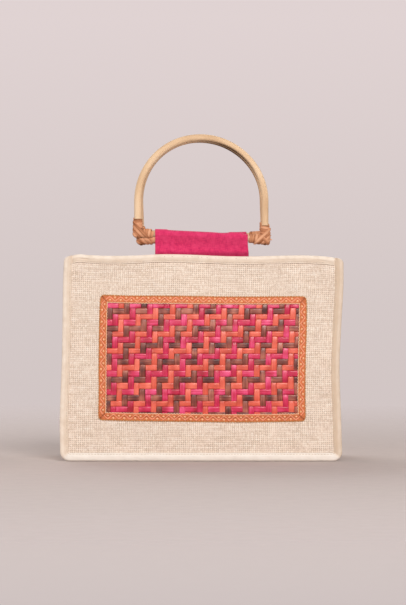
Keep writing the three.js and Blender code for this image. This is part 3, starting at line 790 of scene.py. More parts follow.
# Folds in the tape round the mouth: their middle, how far they lie below the top, and their size
MOUTH_FOLDS = [
    {"x": -129.5, "down": 4.6, "length": 13.0, "slant": 0.03, "depth": 1.1},
    {"x": 84.0, "down": 4.8, "length": 44.0, "slant": -0.02, "depth": 0.35},
    {"x": 128.0, "down": 5.2, "length": 16.0, "slant": 0.06, "depth": 0.5},
    {"x": -62.0, "down": 4.0, "length": 30.0, "slant": 0.03, "depth": 0.25},
]
# Places on a lip, from its edge at 1 towards the nose at 0, and how far it puffs out there
LIP = np.array([1.0, 0.985, 0.93, 0.87, 0.8, 0.73, 0.64, 0.54, 0.44, 0.34, 0.24, 0.12])
LIP_PUFF = np.array([-0.7, -0.1, 0.02, -0.1, -0.22, -0.05, 0.15, 0.28, 0.32, 0.3, 0.24, 0.12])

# A folded tape's section from its front lip round the nose to its back lip: distances down from the nose and
# places across, of the outer and the inner face, where its two faces lie, and the way each place lifts off
Tape = collections.namedtuple("Tape", "down across inner_down inner_across front back way")


def folded_tape(front, back, front_reach, back_reach):
    """The section of a tape that is folded over an edge, with its faces at two places across."""
    middle = (front + back) / 2
    nose = (back - front) / 2
    turn = np.linspace(-math.pi / 2, math.pi / 2, 9)[1:-1]
    front_down = mix(nose, front_reach, LIP)
    back_down = mix(nose, back_reach, LIP[::-1])
    down = np.concatenate([front_down, nose * (1 - np.cos(turn)), back_down])
    across = np.concatenate([front - LIP_PUFF, middle + nose * np.sin(turn), back + LIP_PUFF[::-1]])
    inner_across = np.clip(across, front + TAPE, back - TAPE)
    way = smoothstep(down, 1.5, 4.0) * np.where(across < middle, -1.0, 1.0)
    return Tape(down, across, np.maximum(down, TAPE), inner_across, front, back, way)


def puckers(at, seed):
    return 0.12 * wander(at, 5.0, seed) + 0.15 * wander(at, 17.0, seed + 1)


def tape_flat(rows_at, down, across):
    """Flat coordinates of a tape: along it, and across it round the fold."""
    return stack(rows_at[:, None], path_length(stack(down, across)), 0.0)


def along_path(path, at, values):
    """Values of a path's points, at distances along it."""
    length = path_length(path)
    return stack(*(np.interp(at, length, column) for column in values.T))


def stitches(mesher, tape, line_at, sunk=0.02):
    """A row of stitches on each face of a tape. line_at gives a line of points at a place across the tape."""
    for face, towards in ((tape.front, -1.0), (tape.back, 1.0)):
        line = line_at(face - towards * sunk)
        at = np.arange(STITCH_SPACE, path_length(line)[-1] - STITCH_SPACE, STITCH_SPACE)
        out = along_path(line, at, line_at(face + towards) - line)
        starts, ends = along_path(line, at, line), along_path(line, at + STITCH, line)
        points, faces = capsules(starts, ends, out, STITCH_RADIUS, STITCH_RADIUS * 0.9)
        mesher.add(points, faces, points, 1)


def seam_binding(name, side):
    """The tape over a side seam, with puckers, a folded corner and a row of stitches on each face."""
    tape = folded_tape(-TAPE_FACE, -TAPE_BACK, SEAM_WIDTH, SEAM_WIDTH - GAP)
    round_stations = TOP_RADIUS * (1 - np.cos(np.linspace(0, math.pi / 2, 8)[1:-1]))
    path = seam_path(BAG_HEIGHT, SEAM_STEP, round_stations)
    length = path.length
    to_end = np.minimum(length, length[-1] - length)
    corner = BAG_HEIGHT - CORNER_RADIUS + CORNER_RADIUS * math.pi / 4
    lift = (puckers(length, 41) - 0.35 * hump(to_end - corner, 0.9))[:, None] * tape.way
    ragged = 0.18 * wander(length, 6.0, 43)[:, None] * smoothstep(tape.down, 6.0, 8.5)

    def drawn_in(inside):
        return inside + top_round(to_end)[:, None] * (1 - inside / SEAM_WIDTH)

    shut = (to_end < TAPE)[:, None]
    inner_inside = drawn_in(tape.inner_down)
    inner_inside = np.where(shut, np.maximum(inner_inside, SEAM_WIDTH - 0.7), inner_inside)
    outer = at_seam(path, drawn_in(tape.down + ragged), -side * (tape.across + lift))
    inner = at_seam(path, inner_inside, -side * tape.inner_across)
    on_base = smoothstep(to_end - corner, -CORNER_BLEND, CORNER_BLEND)[:, None]
    on_right = smoothstep(length[-1] - length - corner, CORNER_BLEND, -CORNER_BLEND)[:, None]
    # Painted shade on the inner half of the side tapes, and painted light on the base's tape
    side_tone = mix(NOSE_TAPE_TONE, INNER_TAPE_PAINTED_SHADE, smoothstep(tape.down, 3.5, 5.0))
    tone = mix(side_tone + RIGHT_TAPE_FADE * on_right, BASE_TAPE_PAINTED_LIGHT, on_base)
    mesher = Mesher()
    mesher.add_wall(outer, inner, tape_flat(length, tape.down, tape.across), tone=tone)
    sewn = to_end > SEAM_STITCH_END

    def line_at(face):
        return at_seam(path, SEAM_WIDTH - STITCH_INSIDE, -side * face)[sewn, 0]

    stitches(mesher, tape, line_at)
    return mesher.make(f"{name}_seam_tape", [TAPE_CLOTH, SEWING_THREAD])


def panel_hem(name, side):
    """The tape over a panel's top edge, between the side seams."""
    tape = folded_tape(-TAPE_FACE, -HEM_BACK, HEM_HEIGHT, HEM_HEIGHT)
    seam = HALF_WIDTH - SEAM_WIDTH
    end = seam + HEM_UNDER
    end_stations = np.linspace(end - 2 * HEM_UNDER, end, 9)
    stations = np.unique(np.concatenate([np.linspace(-end, end, HEM_STATIONS), end_stations, -end_stations]))
    x = stations[:, None]
    pucker = 0.06 * wander(x, 5.0, 51) + 0.2 * wander(x, 23.0, 52)
    folds = 0.0
    for row in MOUTH_FOLDS:
        down = tape.down - row["down"] - row["slant"] * (x - row["x"])
        near = np.exp(-(((x - row["x"]) / (row["length"] / 2)) ** 4))
        folds = folds + row["depth"] * near * (0.7 * hump(down + 1.4, 1.0) - hump(down, 0.75))
    tucked = smoothstep(np.abs(x), end - 5.0, end - 2.8)
    middle = (tape.front + tape.back) / 2
    in_front = smoothstep(middle - tape.across, 0.0, middle - tape.front)
    lift = (pucker + folds) * tape.way + HEM_TUCK * tucked * in_front
    ragged = 0.2 * wander(x, 7.0, 53) * smoothstep(tape.down, 6.0, 8.5)
    back_end = mix(seam + GAP, seam - JUTE - 2 * GAP, smoothstep(tape.down, 2.0, 4.0))
    reach = np.where(tape.across < middle, end, back_end)
    at_x = np.clip(x, -reach, reach)
    drop = tape.down + ragged + 0.4 * HEM_TUCK * tucked
    outer = settle(at_x, -side * (tape.across + lift), BAG_HEIGHT - drop)
    inner = settle(at_x, -side * tape.inner_across, BAG_HEIGHT - tape.inner_down)
    band = smoothstep(tape.down, 2.4, 4.2) * smoothstep(tape.down, 8.2, 7.0)
    flat = tape_flat(stations + 900, tape.down, tape.across)
    mesher = Mesher()
    mesher.add_wall(outer, inner, flat, tone=mix(HEM_TOP_TONE, HEM_BAND_TONE, band))
    inner_x = stations[np.abs(stations) < end - HEM_STITCH_END]

    def line_at(face):
        return settle(inner_x, -side * face, HEM_STITCH_Z)

    stitches(mesher, tape, line_at)
    # Single pink stitches that hold the sleeve
    sewn_x = np.arange(-SLEEVE_LENGTH / 2 + 1, SLEEVE_LENGTH / 2, PINK_SPACE)
    sewn_x = sewn_x + 1.6 * wander(sewn_x, 3.0, 54)
    sewn_x = sewn_x[wander(sewn_x, 4.0, 55) > -0.15]
    sewn_z = BAG_HEIGHT - PINK_DOWN
    face = side * (TAPE_FACE + 0.2)
    starts = settle(sewn_x, face, sewn_z)
    ends = settle(sewn_x + PINK_STITCH, face, sewn_z - PINK_STITCH / 3)
    out = settle(sewn_x, face + side, sewn_z) - starts
    points, faces = capsules(starts, ends, out, PINK_RADIUS, 0.2)
    mesher.add(points, faces, points, 2)
    return mesher.make(f"{name}_hem_tape", [TAPE_CLOTH, SEWING_THREAD, PINK_THREAD])


def gusset_hem(name, side):
    """The tape over the gusset's top edge, which folds with it."""
    front = SEAM_WIDTH - GAP - TAPE
    tape = folded_tape(front, SEAM_WIDTH + JUTE + GAP + TAPE, HEM_HEIGHT, HEM_HEIGHT)
    end = FLANGE_FACE - GAP
    y = np.linspace(-end, end, 85)
    dip = 0.35 * smoothstep(np.abs(y), TAPE_BACK - 1.0, TAPE_BACK)

    def face(inside, down):
        return settle(side * (HALF_WIDTH - inside), y[:, None], BAG_HEIGHT - down - dip[:, None])

    outer = face(tape.across + puckers(y, 61)[:, None] * tape.way, tape.down)
    inner = face(tape.inner_across, tape.inner_down)
    mesher = Mesher()
    mesher.add_wall(outer, inner, tape_flat(y + 1500, tape.down, tape.across), tone=GUSSET_HEM_TONE)

    def line_at(inside):
        return settle(side * (HALF_WIDTH - inside), y, HEM_STITCH_Z)

    stitches(mesher, tape, line_at, sunk=0.0)
    return mesher.make(f"gusset_hem_tape_{name}", [TAPE_CLOTH, SEWING_THREAD])


# Woven strips on the front

COLUMN_PITCH = 6.187
ROW_PITCH = 6.12
FIRST_COLUMN_X = -99.92
FIRST_ROW_Z = 166.4
COLUMNS = 34
ROWS = 20
STRIP_WIDTH = 0.995  # share of the pitch
STRIP_THICKNESS = 0.35
STRIP_WAVE = 0.45  # rise of a float over the middle of the weave
STRIP_FLATNESS = 0.6  # below 1, floats are flatter and dive more steeply
STRIP_CROWN = 0.03  # a strip's own bulge across its width
STRIP_POINTS = 5  # across a strip
SAMPLES = 4  # along a strip, for each crossing
STRIP_JITTER = 0.3  # how unevenly wide the strips are
# How far the rows lie below even spacing, by their number from the top
ROW_DRIFT = {"at": (0.0, 7.5, 11.0, 15.5, 20.0), "down": (0.3, 0.5, -0.7, 0.9, 0.7)}
MAT_SPARE = 2.5  # strips run on this far before they are cut to the trim's line
COLUMN_COLOURS = (2, 0, 1)  # brown, pink, orange from the left
ROW_COLOURS = (0, 2, 1)  # pink, brown, orange from the top
MAT_HALF_WIDTH = TRIM_HALF_WIDTH - TRIM_WIDTH + TRIM_OVERLAP
MAT_HALF_HEIGHT = TRIM_HALF_HEIGHT - TRIM_WIDTH + TRIM_OVERLAP


def trim_shifts(x, z):
    """How far the trim's left, right, bottom and top edges lie off their true lines, level with or below
    points that are measured from the trim's middle."""
    level = z / TRIM_HALF_HEIGHT
    below = x / TRIM_HALF_WIDTH
    places = {"left": level, "right": level, "bottom": below, "top": below}
    return [table_value(TRIM_LINE, edge, at) for edge, at in places.items()]


def float_height(crossing, shift):
    """Height of a strip along its run in a 2/2 twill: over two crossings, then under two."""
    wave = np.cos((crossing - shift) * math.pi / 2)
    return STRIP_WAVE * np.sign(wave) * np.abs(wave) ** STRIP_FLATNESS


def woven_strips():
    """Single strips over and under each other. A row's strip lies on top where its column less its row,
    counted from the top left corner, leaves 0 or 1 when it is divided by 4."""
    mesher = Mesher()
    rng = np.random.default_rng(7)
    mid_face = PANEL_FACE + RELIEF + STRIP_WAVE + STRIP_THICKNESS / 2
    across = np.linspace(-1, 1, STRIP_POINTS)
    crown = STRIP_CROWN * (0.5 - across**2)

    def strip(run, edges, height, number, colour, upright):
        half = abs(edges[1] - edges[0]) / 2 * STRIP_WIDTH * (1 + 0.015 * wander(run, 9.0, 900 + number))
        middle = (edges[0] + edges[1]) / 2 + 0.08 * wander(run, 15.0, 1900 + number)
        sideways = middle[:, None] + half[:, None] * across
        along = np.broadcast_to(run[:, None], sideways.shape)
        x, z = (sideways, along) if upright else (along, sideways)
        x = x - TRIM_MIDDLE_X
        z = z - TRIM_MIDDLE_Z
        left, right, low, high = trim_shifts(x, z)
        x = np.clip(x, left - MAT_HALF_WIDTH, right + MAT_HALF_WIDTH)
        z = np.clip(z, low - MAT_HALF_HEIGHT, high + MAT_HALF_HEIGHT)
        margin_x = MAT_HALF_WIDTH + np.minimum(x - left, right - x)
        margin_z = MAT_HALF_HEIGHT + np.minimum(z - low, high - z)
        flatten = smoothstep(margin_z if upright else margin_x, 1.0, 5.0)
        under_trim = mix(0.3, 1.0, smoothstep(np.minimum(margin_x, margin_z), 1.5, 4.0))
        lift = (height[:, None] * flatten + crown) * under_trim

        def face(offset):
            return settle(x + TRIM_MIDDLE_X, -(mid_face + lift + offset), z + TRIM_MIDDLE_Z)

        mesher.add_wall(
            face(STRIP_THICKNESS / 2), face(-STRIP_THICKNESS / 2), stack(along, across, float(number)), colour
        )

    column_edges = FIRST_COLUMN_X + COLUMN_PITCH * (np.arange(COLUMNS + 1) - 0.5)
    column_edges = column_edges + STRIP_JITTER * rng.uniform(-1, 1, COLUMNS + 1)
    row_edges = FIRST_ROW_Z - ROW_PITCH * (np.arange(ROWS + 1) - 0.5)
    row_edges = row_edges - table_value(ROW_DRIFT, "down", np.arange(ROWS + 1))
    row_edges = row_edges + STRIP_JITTER * rng.uniform(-1, 1, ROWS + 1)
    reach = MAT_HALF_HEIGHT + MAT_SPARE
    run = TRIM_MIDDLE_Z + np.linspace(-reach, reach, ROWS * SAMPLES + 1)
    at_row = np.interp(-run, -row_edges, np.arange(ROWS + 1) - 0.5)
    for column in range(COLUMNS):
        # It lies on top where the row less the column is 1 or 2 in every 4, so a float's middle is 1.5 on.
        height = float_height(at_row, column + 1.5)
        strip(run, column_edges[column : column + 2], height, column + 1, COLUMN_COLOURS[column % 3], True)
    reach = MAT_HALF_WIDTH + MAT_SPARE
    run = TRIM_MIDDLE_X + np.linspace(-reach, reach, COLUMNS * SAMPLES + 1)
    at_column = np.interp(run, column_edges, np.arange(COLUMNS + 1) - 0.5)
    for row in range(ROWS):
        height = float_height(at_column, row + 0.5)
        strip(run, row_edges[row : row + 2], height, row + 101, ROW_COLOURS[row % 3], False)
    return mesher.make("woven_strips_mat", STRIPS)


# Braid trim round the strips

RIB_STEP = 0.75
RIB_WIDTH = 0.72
RIB_HEIGHT = 0.15
ZIGZAG_PERIOD = 11.9
ZIGZAG_REACH = 2.3
ZIGZAG_START = 4.5  # from the outer corner to the first turn
MITRE_SHADE = 0.4
CORNER_SHADE = 0.3
LOOP_PITCH = 3.0
TRIM_SIDES = [
    {"start": (-1, -1), "end": (1, -1)},
    {"start": (1, -1), "end": (1, 1)},
    {"start": (1, 1), "end": (-1, 1)},
    {"start": (-1, 1), "end": (-1, -1)},
]


def trim_point(side, along, inside, lift):
    """A point on one side of the trim: along it from 0 to 1, inside its outer edge and above its base."""
    (x0, z0), (x1, z1) = side["start"], side["end"]
    x = mix(x0, x1, along) * (TRIM_HALF_WIDTH - inside)
    z = mix(z0, z1, along) * (TRIM_HALF_HEIGHT - inside)
    into_x = np.clip(np.abs(x) - TRIM_HALF_WIDTH + TRIM_CORNER, 0, None) / TRIM_CORNER
    into_z = np.clip(np.abs(z) - TRIM_HALF_HEIGHT + TRIM_CORNER, 0, None) / TRIM_CORNER
    x = x - np.sign(x) * TRIM_CORNER * into_x * (1 - np.sqrt(1 - into_z**2 / 2))
    z = z - np.sign(z) * TRIM_CORNER * into_z * (1 - np.sqrt(1 - into_x**2 / 2))
    left, right, bottom, top = trim_shifts(x, z)
    x_here = TRIM_MIDDLE_X + x + mix(left, right, (x / TRIM_HALF_WIDTH + 1) / 2)
    z_here = TRIM_MIDDLE_Z + z + mix(bottom, top, (z / TRIM_HALF_HEIGHT + 1) / 2)
    rise = (MAT_THICKNESS + GAP) * smoothstep(inside, 3.6, 6.8)
    return settle(x_here, -(PANEL_FACE + GAP + rise + lift), z_here)


def trim_side(mesher, side, number):
    """One side of the trim: a ribbed ribbon with a zigzag, knots in its angles and loops on its edges."""
    length = 2 * (TRIM_HALF_WIDTH if side["start"][1] == side["end"][1] else TRIM_HALF_HEIGHT)
    base = TRIM_THICKNESS * 0.8

    across = np.linspace(0.85, TRIM_WIDTH - 0.8, 23)
    share = np.linspace(0, 1, round(length / RIB_STEP) + 1)[:, None]
    edge = smoothstep(np.minimum(across - across[0], across[-1] - across), 0.0, 0.6)
    rib = RIB_HEIGHT * np.cos(share * length / RIB_STEP * math.pi / 2) * np.cos(across / RIB_WIDTH * math.pi)
    wave = 0.1 * wander(share * length, 9.0, 70 + number)
    to_mitre = np.minimum(share, 1 - share) * (length - 2 * across)
    groove = mix(0.3, 1.0, smoothstep(to_mitre, 0.0, 0.9))
    top = (base * (0.5 + 0.5 * edge) + (rib + wave) * edge) * groove
    to_tip = np.hypot(to_mitre, across)
    mesher.add_wall(
        trim_point(side, share, across, top),
        trim_point(side, share, across, 0.0),
        stack(share * length, across, float(number)),
        tone=-MITRE_SHADE * hump(to_mitre, 0.55) - CORNER_SHADE * hump(to_tip, 3.5),
    )

    def spot(place, inside, lift):
        """A point at a distance along the trim's outer edge."""
        return trim_point(side, (place - inside) / (length - 2 * inside), inside, lift)

    turns = round((length - 2 * ZIGZAG_START) / ZIGZAG_PERIOD)
    period = (length - 2 * ZIGZAG_START) / turns
    turn = np.linspace(0, turns, turns * 20 + 1)
    swing = np.abs((turn % 1) * 2 - 1) * 2 - 1
    swing = 0.15 * np.sin(swing * math.pi / 2) + 0.85 * swing
    inside = TRIM_WIDTH / 2 - 0.1 + ZIGZAG_REACH * swing + 0.12 * wander(turn, 0.4, 75 + number)
    place = ZIGZAG_START + turn * period
    kept = np.minimum(place, length - place) > inside + 0.3
    line = spot(place[kept], inside[kept], base + 0.2)
    sideways = spot(place[kept], inside[kept] + 0.5, base + 0.2) - line
    mesher.add(*sweep(line, sideways, 0.66, 0.42), slot=1)

    knots = np.arange(1, 2 * turns)
    knot_place = ZIGZAG_START + (knots / 2 + 0.04 * wander(knots, 1.0, 77 + number)) * period
    knot_inside = np.where(knots % 2 == 0, TRIM_WIDTH / 2 - 1.6, TRIM_WIDTH / 2 + 1.0)
    starts = spot(knot_place - 1.2, knot_inside, base)
    ends = spot(knot_place + 1.2, knot_inside, base)
    out = spot(knot_place, knot_inside, 1.0) - spot(knot_place, knot_inside, 0.0)
    points, faces = capsules(starts, ends, out, 1.1, 0.55, 5, 10)
    mesher.add(points, faces, points, 2)

    for inside, reach, slot in ((1.05, -0.7, 3), (TRIM_WIDTH - 1.05, 0.6, 4)):
        count = round((length - 2 * inside) / LOOP_PITCH)
        share = np.linspace(0, 1, count * 8 + 1)
        bulge = np.abs(np.sin(share * count * math.pi))
        line = trim_point(side, share, inside + reach * bulge, base * 0.55 + 0.2 * bulge)
        sideways = trim_point(side, share, inside + 1.0, 0.5) - trim_point(side, share, inside, 0.5)
        mesher.add(*sweep(line, sideways, 0.46, 0.4, 6), slot=slot)


def braid_trim():
    mesher = Mesher()
    for number, side in enumerate(TRIM_SIDES):
        trim_side(mesher, side, number)
    return mesher.make("strip_trim_braid", BRAIDS)


# Sleeves

# Slack of the cloth over the bar, from the left end to the right
SLEEVE_SLACK = {
    "at": (-1.0, -0.75, -0.7, -0.2, 0.2, 0.56, 0.6, 0.86, 0.9, 1.0),
    "front": (0.3, 0.5, 0.0, 0.0, 0.1, 0.0, 1.1, 1.4, 0.2, 0.1),
    "back": (0.2, 0.5, 0.4, 0.1, -0.2, -0.2, -0.1, 0.1, 0.1, 0.0),
}
SLEEVE_FOOT_SHADE = 0.4
SLEEVE_TOP_SHADE = 0.2
TAIL_ROWS = 14


def bar_slope(handle):
    return handle["bar_rise"] / (2 * ARCH_RADIUS)


def seat_y(handle):
    return handle["side"] * (SLEEVE_MIDDLE - MOUTH_LEAN) + BACK_SHIFT


def sleeve(handle):
    """Cloth looped over a handle's bar, its tails sewn inside the mouth. Also gives its length laid flat."""
    inner_radius = BAR_RADIUS + SLEEVE_FIT
    outer_radius = inner_radius + SLEEVE_CLOTH
    height = handle["bar_height"]
    mouth = BAG_HEIGHT - height
    slope = math.tan(math.atan(bar_slope(handle)) + handle["lean"])
    stations = np.linspace(-SLEEVE_LENGTH / 2, SLEEVE_LENGTH / 2, 100)
    x = stations[:, None]
    seed = 80 if handle["side"] < 0 else 90
    crease = 0.25 * wander(x, 11.0, seed) + 0.2 * wander(x, 27.0, seed + 1)
    pull = 0.45 * wander(x, 6.0, seed + 2)
    slack = table_value(SLEEVE_SLACK, handle["name"], x / (SLEEVE_LENGTH / 2))
    rise = (x - handle["middle_x"]) * slope

    def section(radius, tail_y):
        """Places across and above the bar's middle: up one tail, over the bar and down the other."""
        turn = np.linspace(1.14 * math.pi, -0.14 * math.pi, 28)
        down = np.linspace(SLEEVE_TAIL_FOOT - height, -SLEEVE_NECK, TAIL_ROWS)
        share = np.linspace(0, 1, 8)[1:-1]
        slant_y = mix(-tail_y, radius * math.cos(turn[0]), share**1.4)
        slant_z = mix(-SLEEVE_NECK, radius * math.sin(turn[0]), share)
        tail = np.full(TAIL_ROWS, tail_y)
        y = np.concatenate([-tail, slant_y, radius * np.cos(turn), -slant_y[::-1], tail])
        z = np.concatenate([down, slant_z, radius * np.sin(turn), slant_z[::-1], down[::-1]])
        return y, z

    def cloth(y, z, radius):
        follows = smoothstep(z, mouth, -SLEEVE_NECK)
        free = smoothstep(z, mouth - 1.0, mouth + 6.0)
        outward = np.sign(y) * smoothstep(np.abs(y), 0.0, 1.5) * free
        below = smoothstep(-z, 2.0, 9.0)
        over = smoothstep(z, 0.0, radius)
        loose = 0.2 + crease + below * pull + 0.4 * slack * (1 - below)
        flare = smoothstep(-z, 4.0, 18.0) * smoothstep(x, 30.0, 50.0)
        at_z = height + z + follows * rise + over * slack
        return stack(x + flare, seat_y(handle) + y + outward * loose, at_z)

    outer_y, outer_z = section(outer_radius, GAP / 2 + SLEEVE_CLOTH)
    inner_y, inner_z = section(inner_radius, GAP / 2)
    outer = cloth(outer_y, outer_z, outer_radius)
    flat = tape_flat(stations + 60, outer_y, outer_z)
    at_foot = smoothstep(outer[..., 2], BAG_HEIGHT + 4.4, BAG_HEIGHT + 0.2)
    on_top = smoothstep(outer_z, outer_radius * 0.85, outer_radius)
    tone = -(SLEEVE_FOOT_SHADE * at_foot + SLEEVE_TOP_SHADE * on_top)
    mesher = Mesher()
    mesher.add_wall(outer, cloth(inner_y, inner_z, inner_radius), flat, tone=tone)
    return mesher.make(f"{handle['name']}_sleeve_cloth", [SLEEVE_COTTON]), flat[..., 1].max()


# Handles

UP = np.array([0.0, 0.0, 1.0])
DEPTH = np.array([0.0, 1.0, 0.0])
# The stretch of the bend that gets painted shade on its inner side, as angles from the right springing
PAINTED_SHADE_FROM = math.radians(5)
PAINTED_SHADE_MOST = math.radians(58)
PAINTED_SHADE_TO = math.radians(112)
# How dark the painted shade inside the bend is
PAINTED_SHADE = 0.95


def placed(points, handle):
    """Points of a handle's own frame, with its bar's middle at the origin, in the bag's frame."""
    x, y, z = np.moveaxis(points, -1, 0)
    cos, sin = math.cos(handle["lean"]), math.sin(handle["lean"])
    at_x = handle["middle_x"] + x * cos - z * sin
    return stack(at_x, seat_y(handle) + y, handle["bar_height"] + x * sin + z * cos)


def handle_arch(handle):
    """The bent cane: up the left leg, over the half-round top and down the right leg."""
    springing = handle["crown"] - handle["bar_height"] - ARCH_RADIUS
    left_foot = -handle["bar_rise"] / 2 - BAR_RADIUS
    right_foot = handle["bar_rise"] / 2 - BAR_RADIUS
    angle = np.linspace(math.pi, 0, 97)
    over_x = ARCH_RADIUS * np.cos(angle) - handle["skew"] * np.sin(angle) ** 2
    path = np.concatenate(
        [
            stack(-ARCH_RADIUS, 0.0, np.linspace(left_foot, springing, 17)[:-1]),
            stack(over_x, 0.0, springing + ARCH_RADIUS * np.sin(angle)),
            stack(ARCH_RADIUS, 0.0, np.linspace(springing, right_foot, 17)[1:]),
        ]
    )
    length = path_length(path)
    seed = 110 if handle["side"] < 0 else 120
    girth = mix(handle["left_girth"], handle["right_girth"], length / length[-1])
    radius = CANE_RADIUS * girth * (1 + 0.012 * wander(length, 23.0, seed))
    points, faces, flat = sweep(path, DEPTH, radius, radius, 28)
    # Painted shade on the inner side of the bend, added to the darkening of the whole cane
    turn = np.arctan2(points[:, 2] - springing, points[:, 0])
    bend = smoothstep(turn, PAINTED_SHADE_FROM, PAINTED_SHADE_MOST) * smoothstep(turn, PAINTED_SHADE_TO, PAINTED_SHADE_MOST)
    tone = mix(handle["darkening"], PAINTED_SHADE, bend * smoothstep(-flat[:, 2], 0.2, 0.85))
    mesher = Mesher()
    mesher.add(placed(points, handle), faces, flat + (seed * 10.0, 0, 0), tone=tone)
    return mesher.make(f"{handle['name']}_arch_cane", [CANE])


def handle_bar(handle):
    """The straight bar, whose ends butt against the legs."""
    half = ARCH_RADIUS - CANE_RADIUS - GAP
    x = np.linspace(-half, half, 41)
    points, faces, flat = sweep(stack(x, 0.0, x * bar_slope(handle)), DEPTH, BAR_RADIUS, BAR_RADIUS, 20)
    mesher = Mesher()
    mesher.add(placed(points, handle), faces, flat + (2500.0, 0, 0))
    return mesher.make(f"{handle['name']}_bar_cane", [CANE])


PEEL_HALF_WIDTH = 1.75
PEEL_HALF_THICK = 0.56
PEEL_PITCH = 2.9
KNOT_RADIUS = 5.15  # middle of the strands that cross the corner
KNOT_POINTS = 64  # round a closed strand
CORE_ROUND = 2.5  # length of the core's rounded end
FALLING_STRANDS = (-4.4, -1.6, 1.2, 4.0)  # how far each lies from the corner, towards the crook
RIGHT_BROWNING = 0.07
LEFT_SHORTER = 0.6  # how much sooner the left winding ends along the bar


def lashing(handle, side):
    """Cane peel wound round the leg and the bar, and crossed over the corner between them."""
    mesher = Mesher()
    corner = np.array([side * ARCH_RADIUS, 0.0, side * handle["bar_rise"] / 2])
    inwards = unit(np.array([-side, 0.0, -side * bar_slope(handle)]))
    bar_side = np.cross(inwards, DEPTH)
    falling = unit(inwards - UP)
    rising = unit(inwards + UP)
    seed = 200 + (3 if side > 0 else 0) + (7 if handle["side"] > 0 else 0)
    darkening = RIGHT_BROWNING if side > 0 else 0.0
    number = 0

    def strand(path, across, looped=False, half_width=PEEL_HALF_WIDTH):
        nonlocal number
        number += 1
        points, faces, flat = sweep(corner + path, across, half_width, PEEL_HALF_THICK, 10, looped)
        mesher.add(placed(points, handle), faces, flat + (seed * 13.0 + number * 47.0, 0, 0), 0, darkening)

    def core(axis, first, start, end, radius):
        place = np.linspace(start, end, 12)
        to_tip = np.clip((start + CORE_ROUND - place) / CORE_ROUND, 0, 1)
        radius = radius * np.sqrt(np.clip(1 - to_tip**2, 0.05, 1))
        points, faces, flat = sweep(corner + place[:, None] * axis, first, radius, radius, 18)
        mesher.add(placed(points, handle), faces, flat, 1)

    def wind(axis, first, base, start, end, twist):
        turns = (end - start) / PEEL_PITCH
        share = np.linspace(0, 1, round(turns * 28) + 1)[:, None]
        angle = twist + share * turns * 2 * math.pi
        radius = mix(*base, share) + 0.08 * wander(share * turns, 0.35, seed)
        around = np.cos(angle) * first + np.sin(angle) * DEPTH
        strand(mix(start, end, share) * axis + radius * around, axis)

    def across_corner(offset, radius):
        """A closed turn in a plane through the depth and the falling diagonal, which hugs the leg's outer
        side and the bar's underside."""
        angle = circle(KNOT_POINTS)
        short = min(offset, 0.0)
        along = np.sign(np.cos(angle)) * max(offset, 0.0) + (radius * math.sqrt(2) + short) * np.cos(angle)
        reach = math.sqrt(radius**2 - short**2 / 2)
        out = reach * np.sin(angle) * (1 + 0.015 * wander(angle, 0.5, seed + number))
        path = along[:, None] * falling + offset * rising + out[:, None] * DEPTH
        bar_share = smoothstep(np.cos(angle), -0.35, 0.35)[:, None]
        from_leg = path - (path @ UP)[:, None] * UP
        from_bar = path - (path @ inwards)[:, None] * inwards
        outward = unit(mix(unit(from_leg), unit(from_bar), bar_share))
        strand(path, np.cross(tangents(path, True), outward), looped=True)

    core(UP, inwards, -LASHING_DOWN + 0.5, LASHING_UP - 1.0, CANE_RADIUS + 0.4)
    core(inwards, bar_side, -4.5, LASHING_ALONG - 1.0, BAR_RADIUS + 0.45)
    wind(UP, inwards, (CANE_RADIUS + 1.1, CANE_RADIUS + 0.6), 4.4, LASHING_UP - 1.4, 0.4)
    along_end = LASHING_ALONG - (LEFT_SHORTER if side < 0 else 0.0)
    wind(inwards, bar_side, (BAR_RADIUS + 1.2, BAR_RADIUS + 0.8), 4.8, along_end, 1.1)
    for row, offset in enumerate(FALLING_STRANDS):
        across_corner(offset, KNOT_RADIUS + 0.12 * (row % 2))
    if side > 0:
        # One turn across the others, and a loose end
        angle = circle(KNOT_POINTS)[:, None]
        around = np.cos(angle) * KNOT_RADIUS * 1.25 * rising + np.sin(angle) * (KNOT_RADIUS + 0.75) * DEPTH
        strand(around + 0.6 * falling, falling, looped=True)
        share = np.linspace(0, 1, 8)[:, None]
        loose_end = mix(np.array([5.0, -2.0, 0.8]), np.array([7.0, -2.8, -0.8]), share)
        strand(loose_end, DEPTH, half_width=0.35)
    label = "left" if side < 0 else "right"
    return mesher.make(f"{handle['name']}_lashing_peel_{label}", LASHINGS)


# Pieces, the bodies they ride on and the solids they stand for


def dress(piece, body, node):
    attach(piece, body)
    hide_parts(node)
    return piece


for name, side in (("front", -1), ("back", 1)):
    panel = dress(jute_panel(name, side, 11 + side), "bag", f"{name}_panel")
    tape = dress(seam_binding(name, side), "bag", f"{name}_seam_binding")
    hem = dress(panel_hem(name, side), "bag", f"{name}_hem")
gusset = dress(gusset_cloth(), "bag", "gusset")
gusset_hems = [
    dress(gusset_hem("left", -1), "bag", "gusset_hem_left"),
    dress(gusset_hem("right", 1), "bag", "gusset_hem_right"),
]
dress(woven_strips(), "bag", "woven_strips")
dress(braid_trim(), "bag", "strip_trim")

for handle in HANDLES:
    name = handle["name"]
    body = f"{name}_handle"
    cloth, cloth_length = sleeve(handle)
    dress(cloth, "bag", f"{name}_sleeve")
    dress(handle_arch(handle), body, f"{name}_handle_arch")
    dress(handle_bar(handle), body, f"{name}_handle_bar")
    dress(lashing(handle, -1), body, f"{name}_lashing_left")
    dress(lashing(handle, 1), body, f"{name}_lashing_right")

# Floor, light and camera

FLOOR_RADIUS = 4000.0
FLOOR_DROP = 0.15
FLOOR_FADE = (0.3, 1.6)  # in metres from the middle


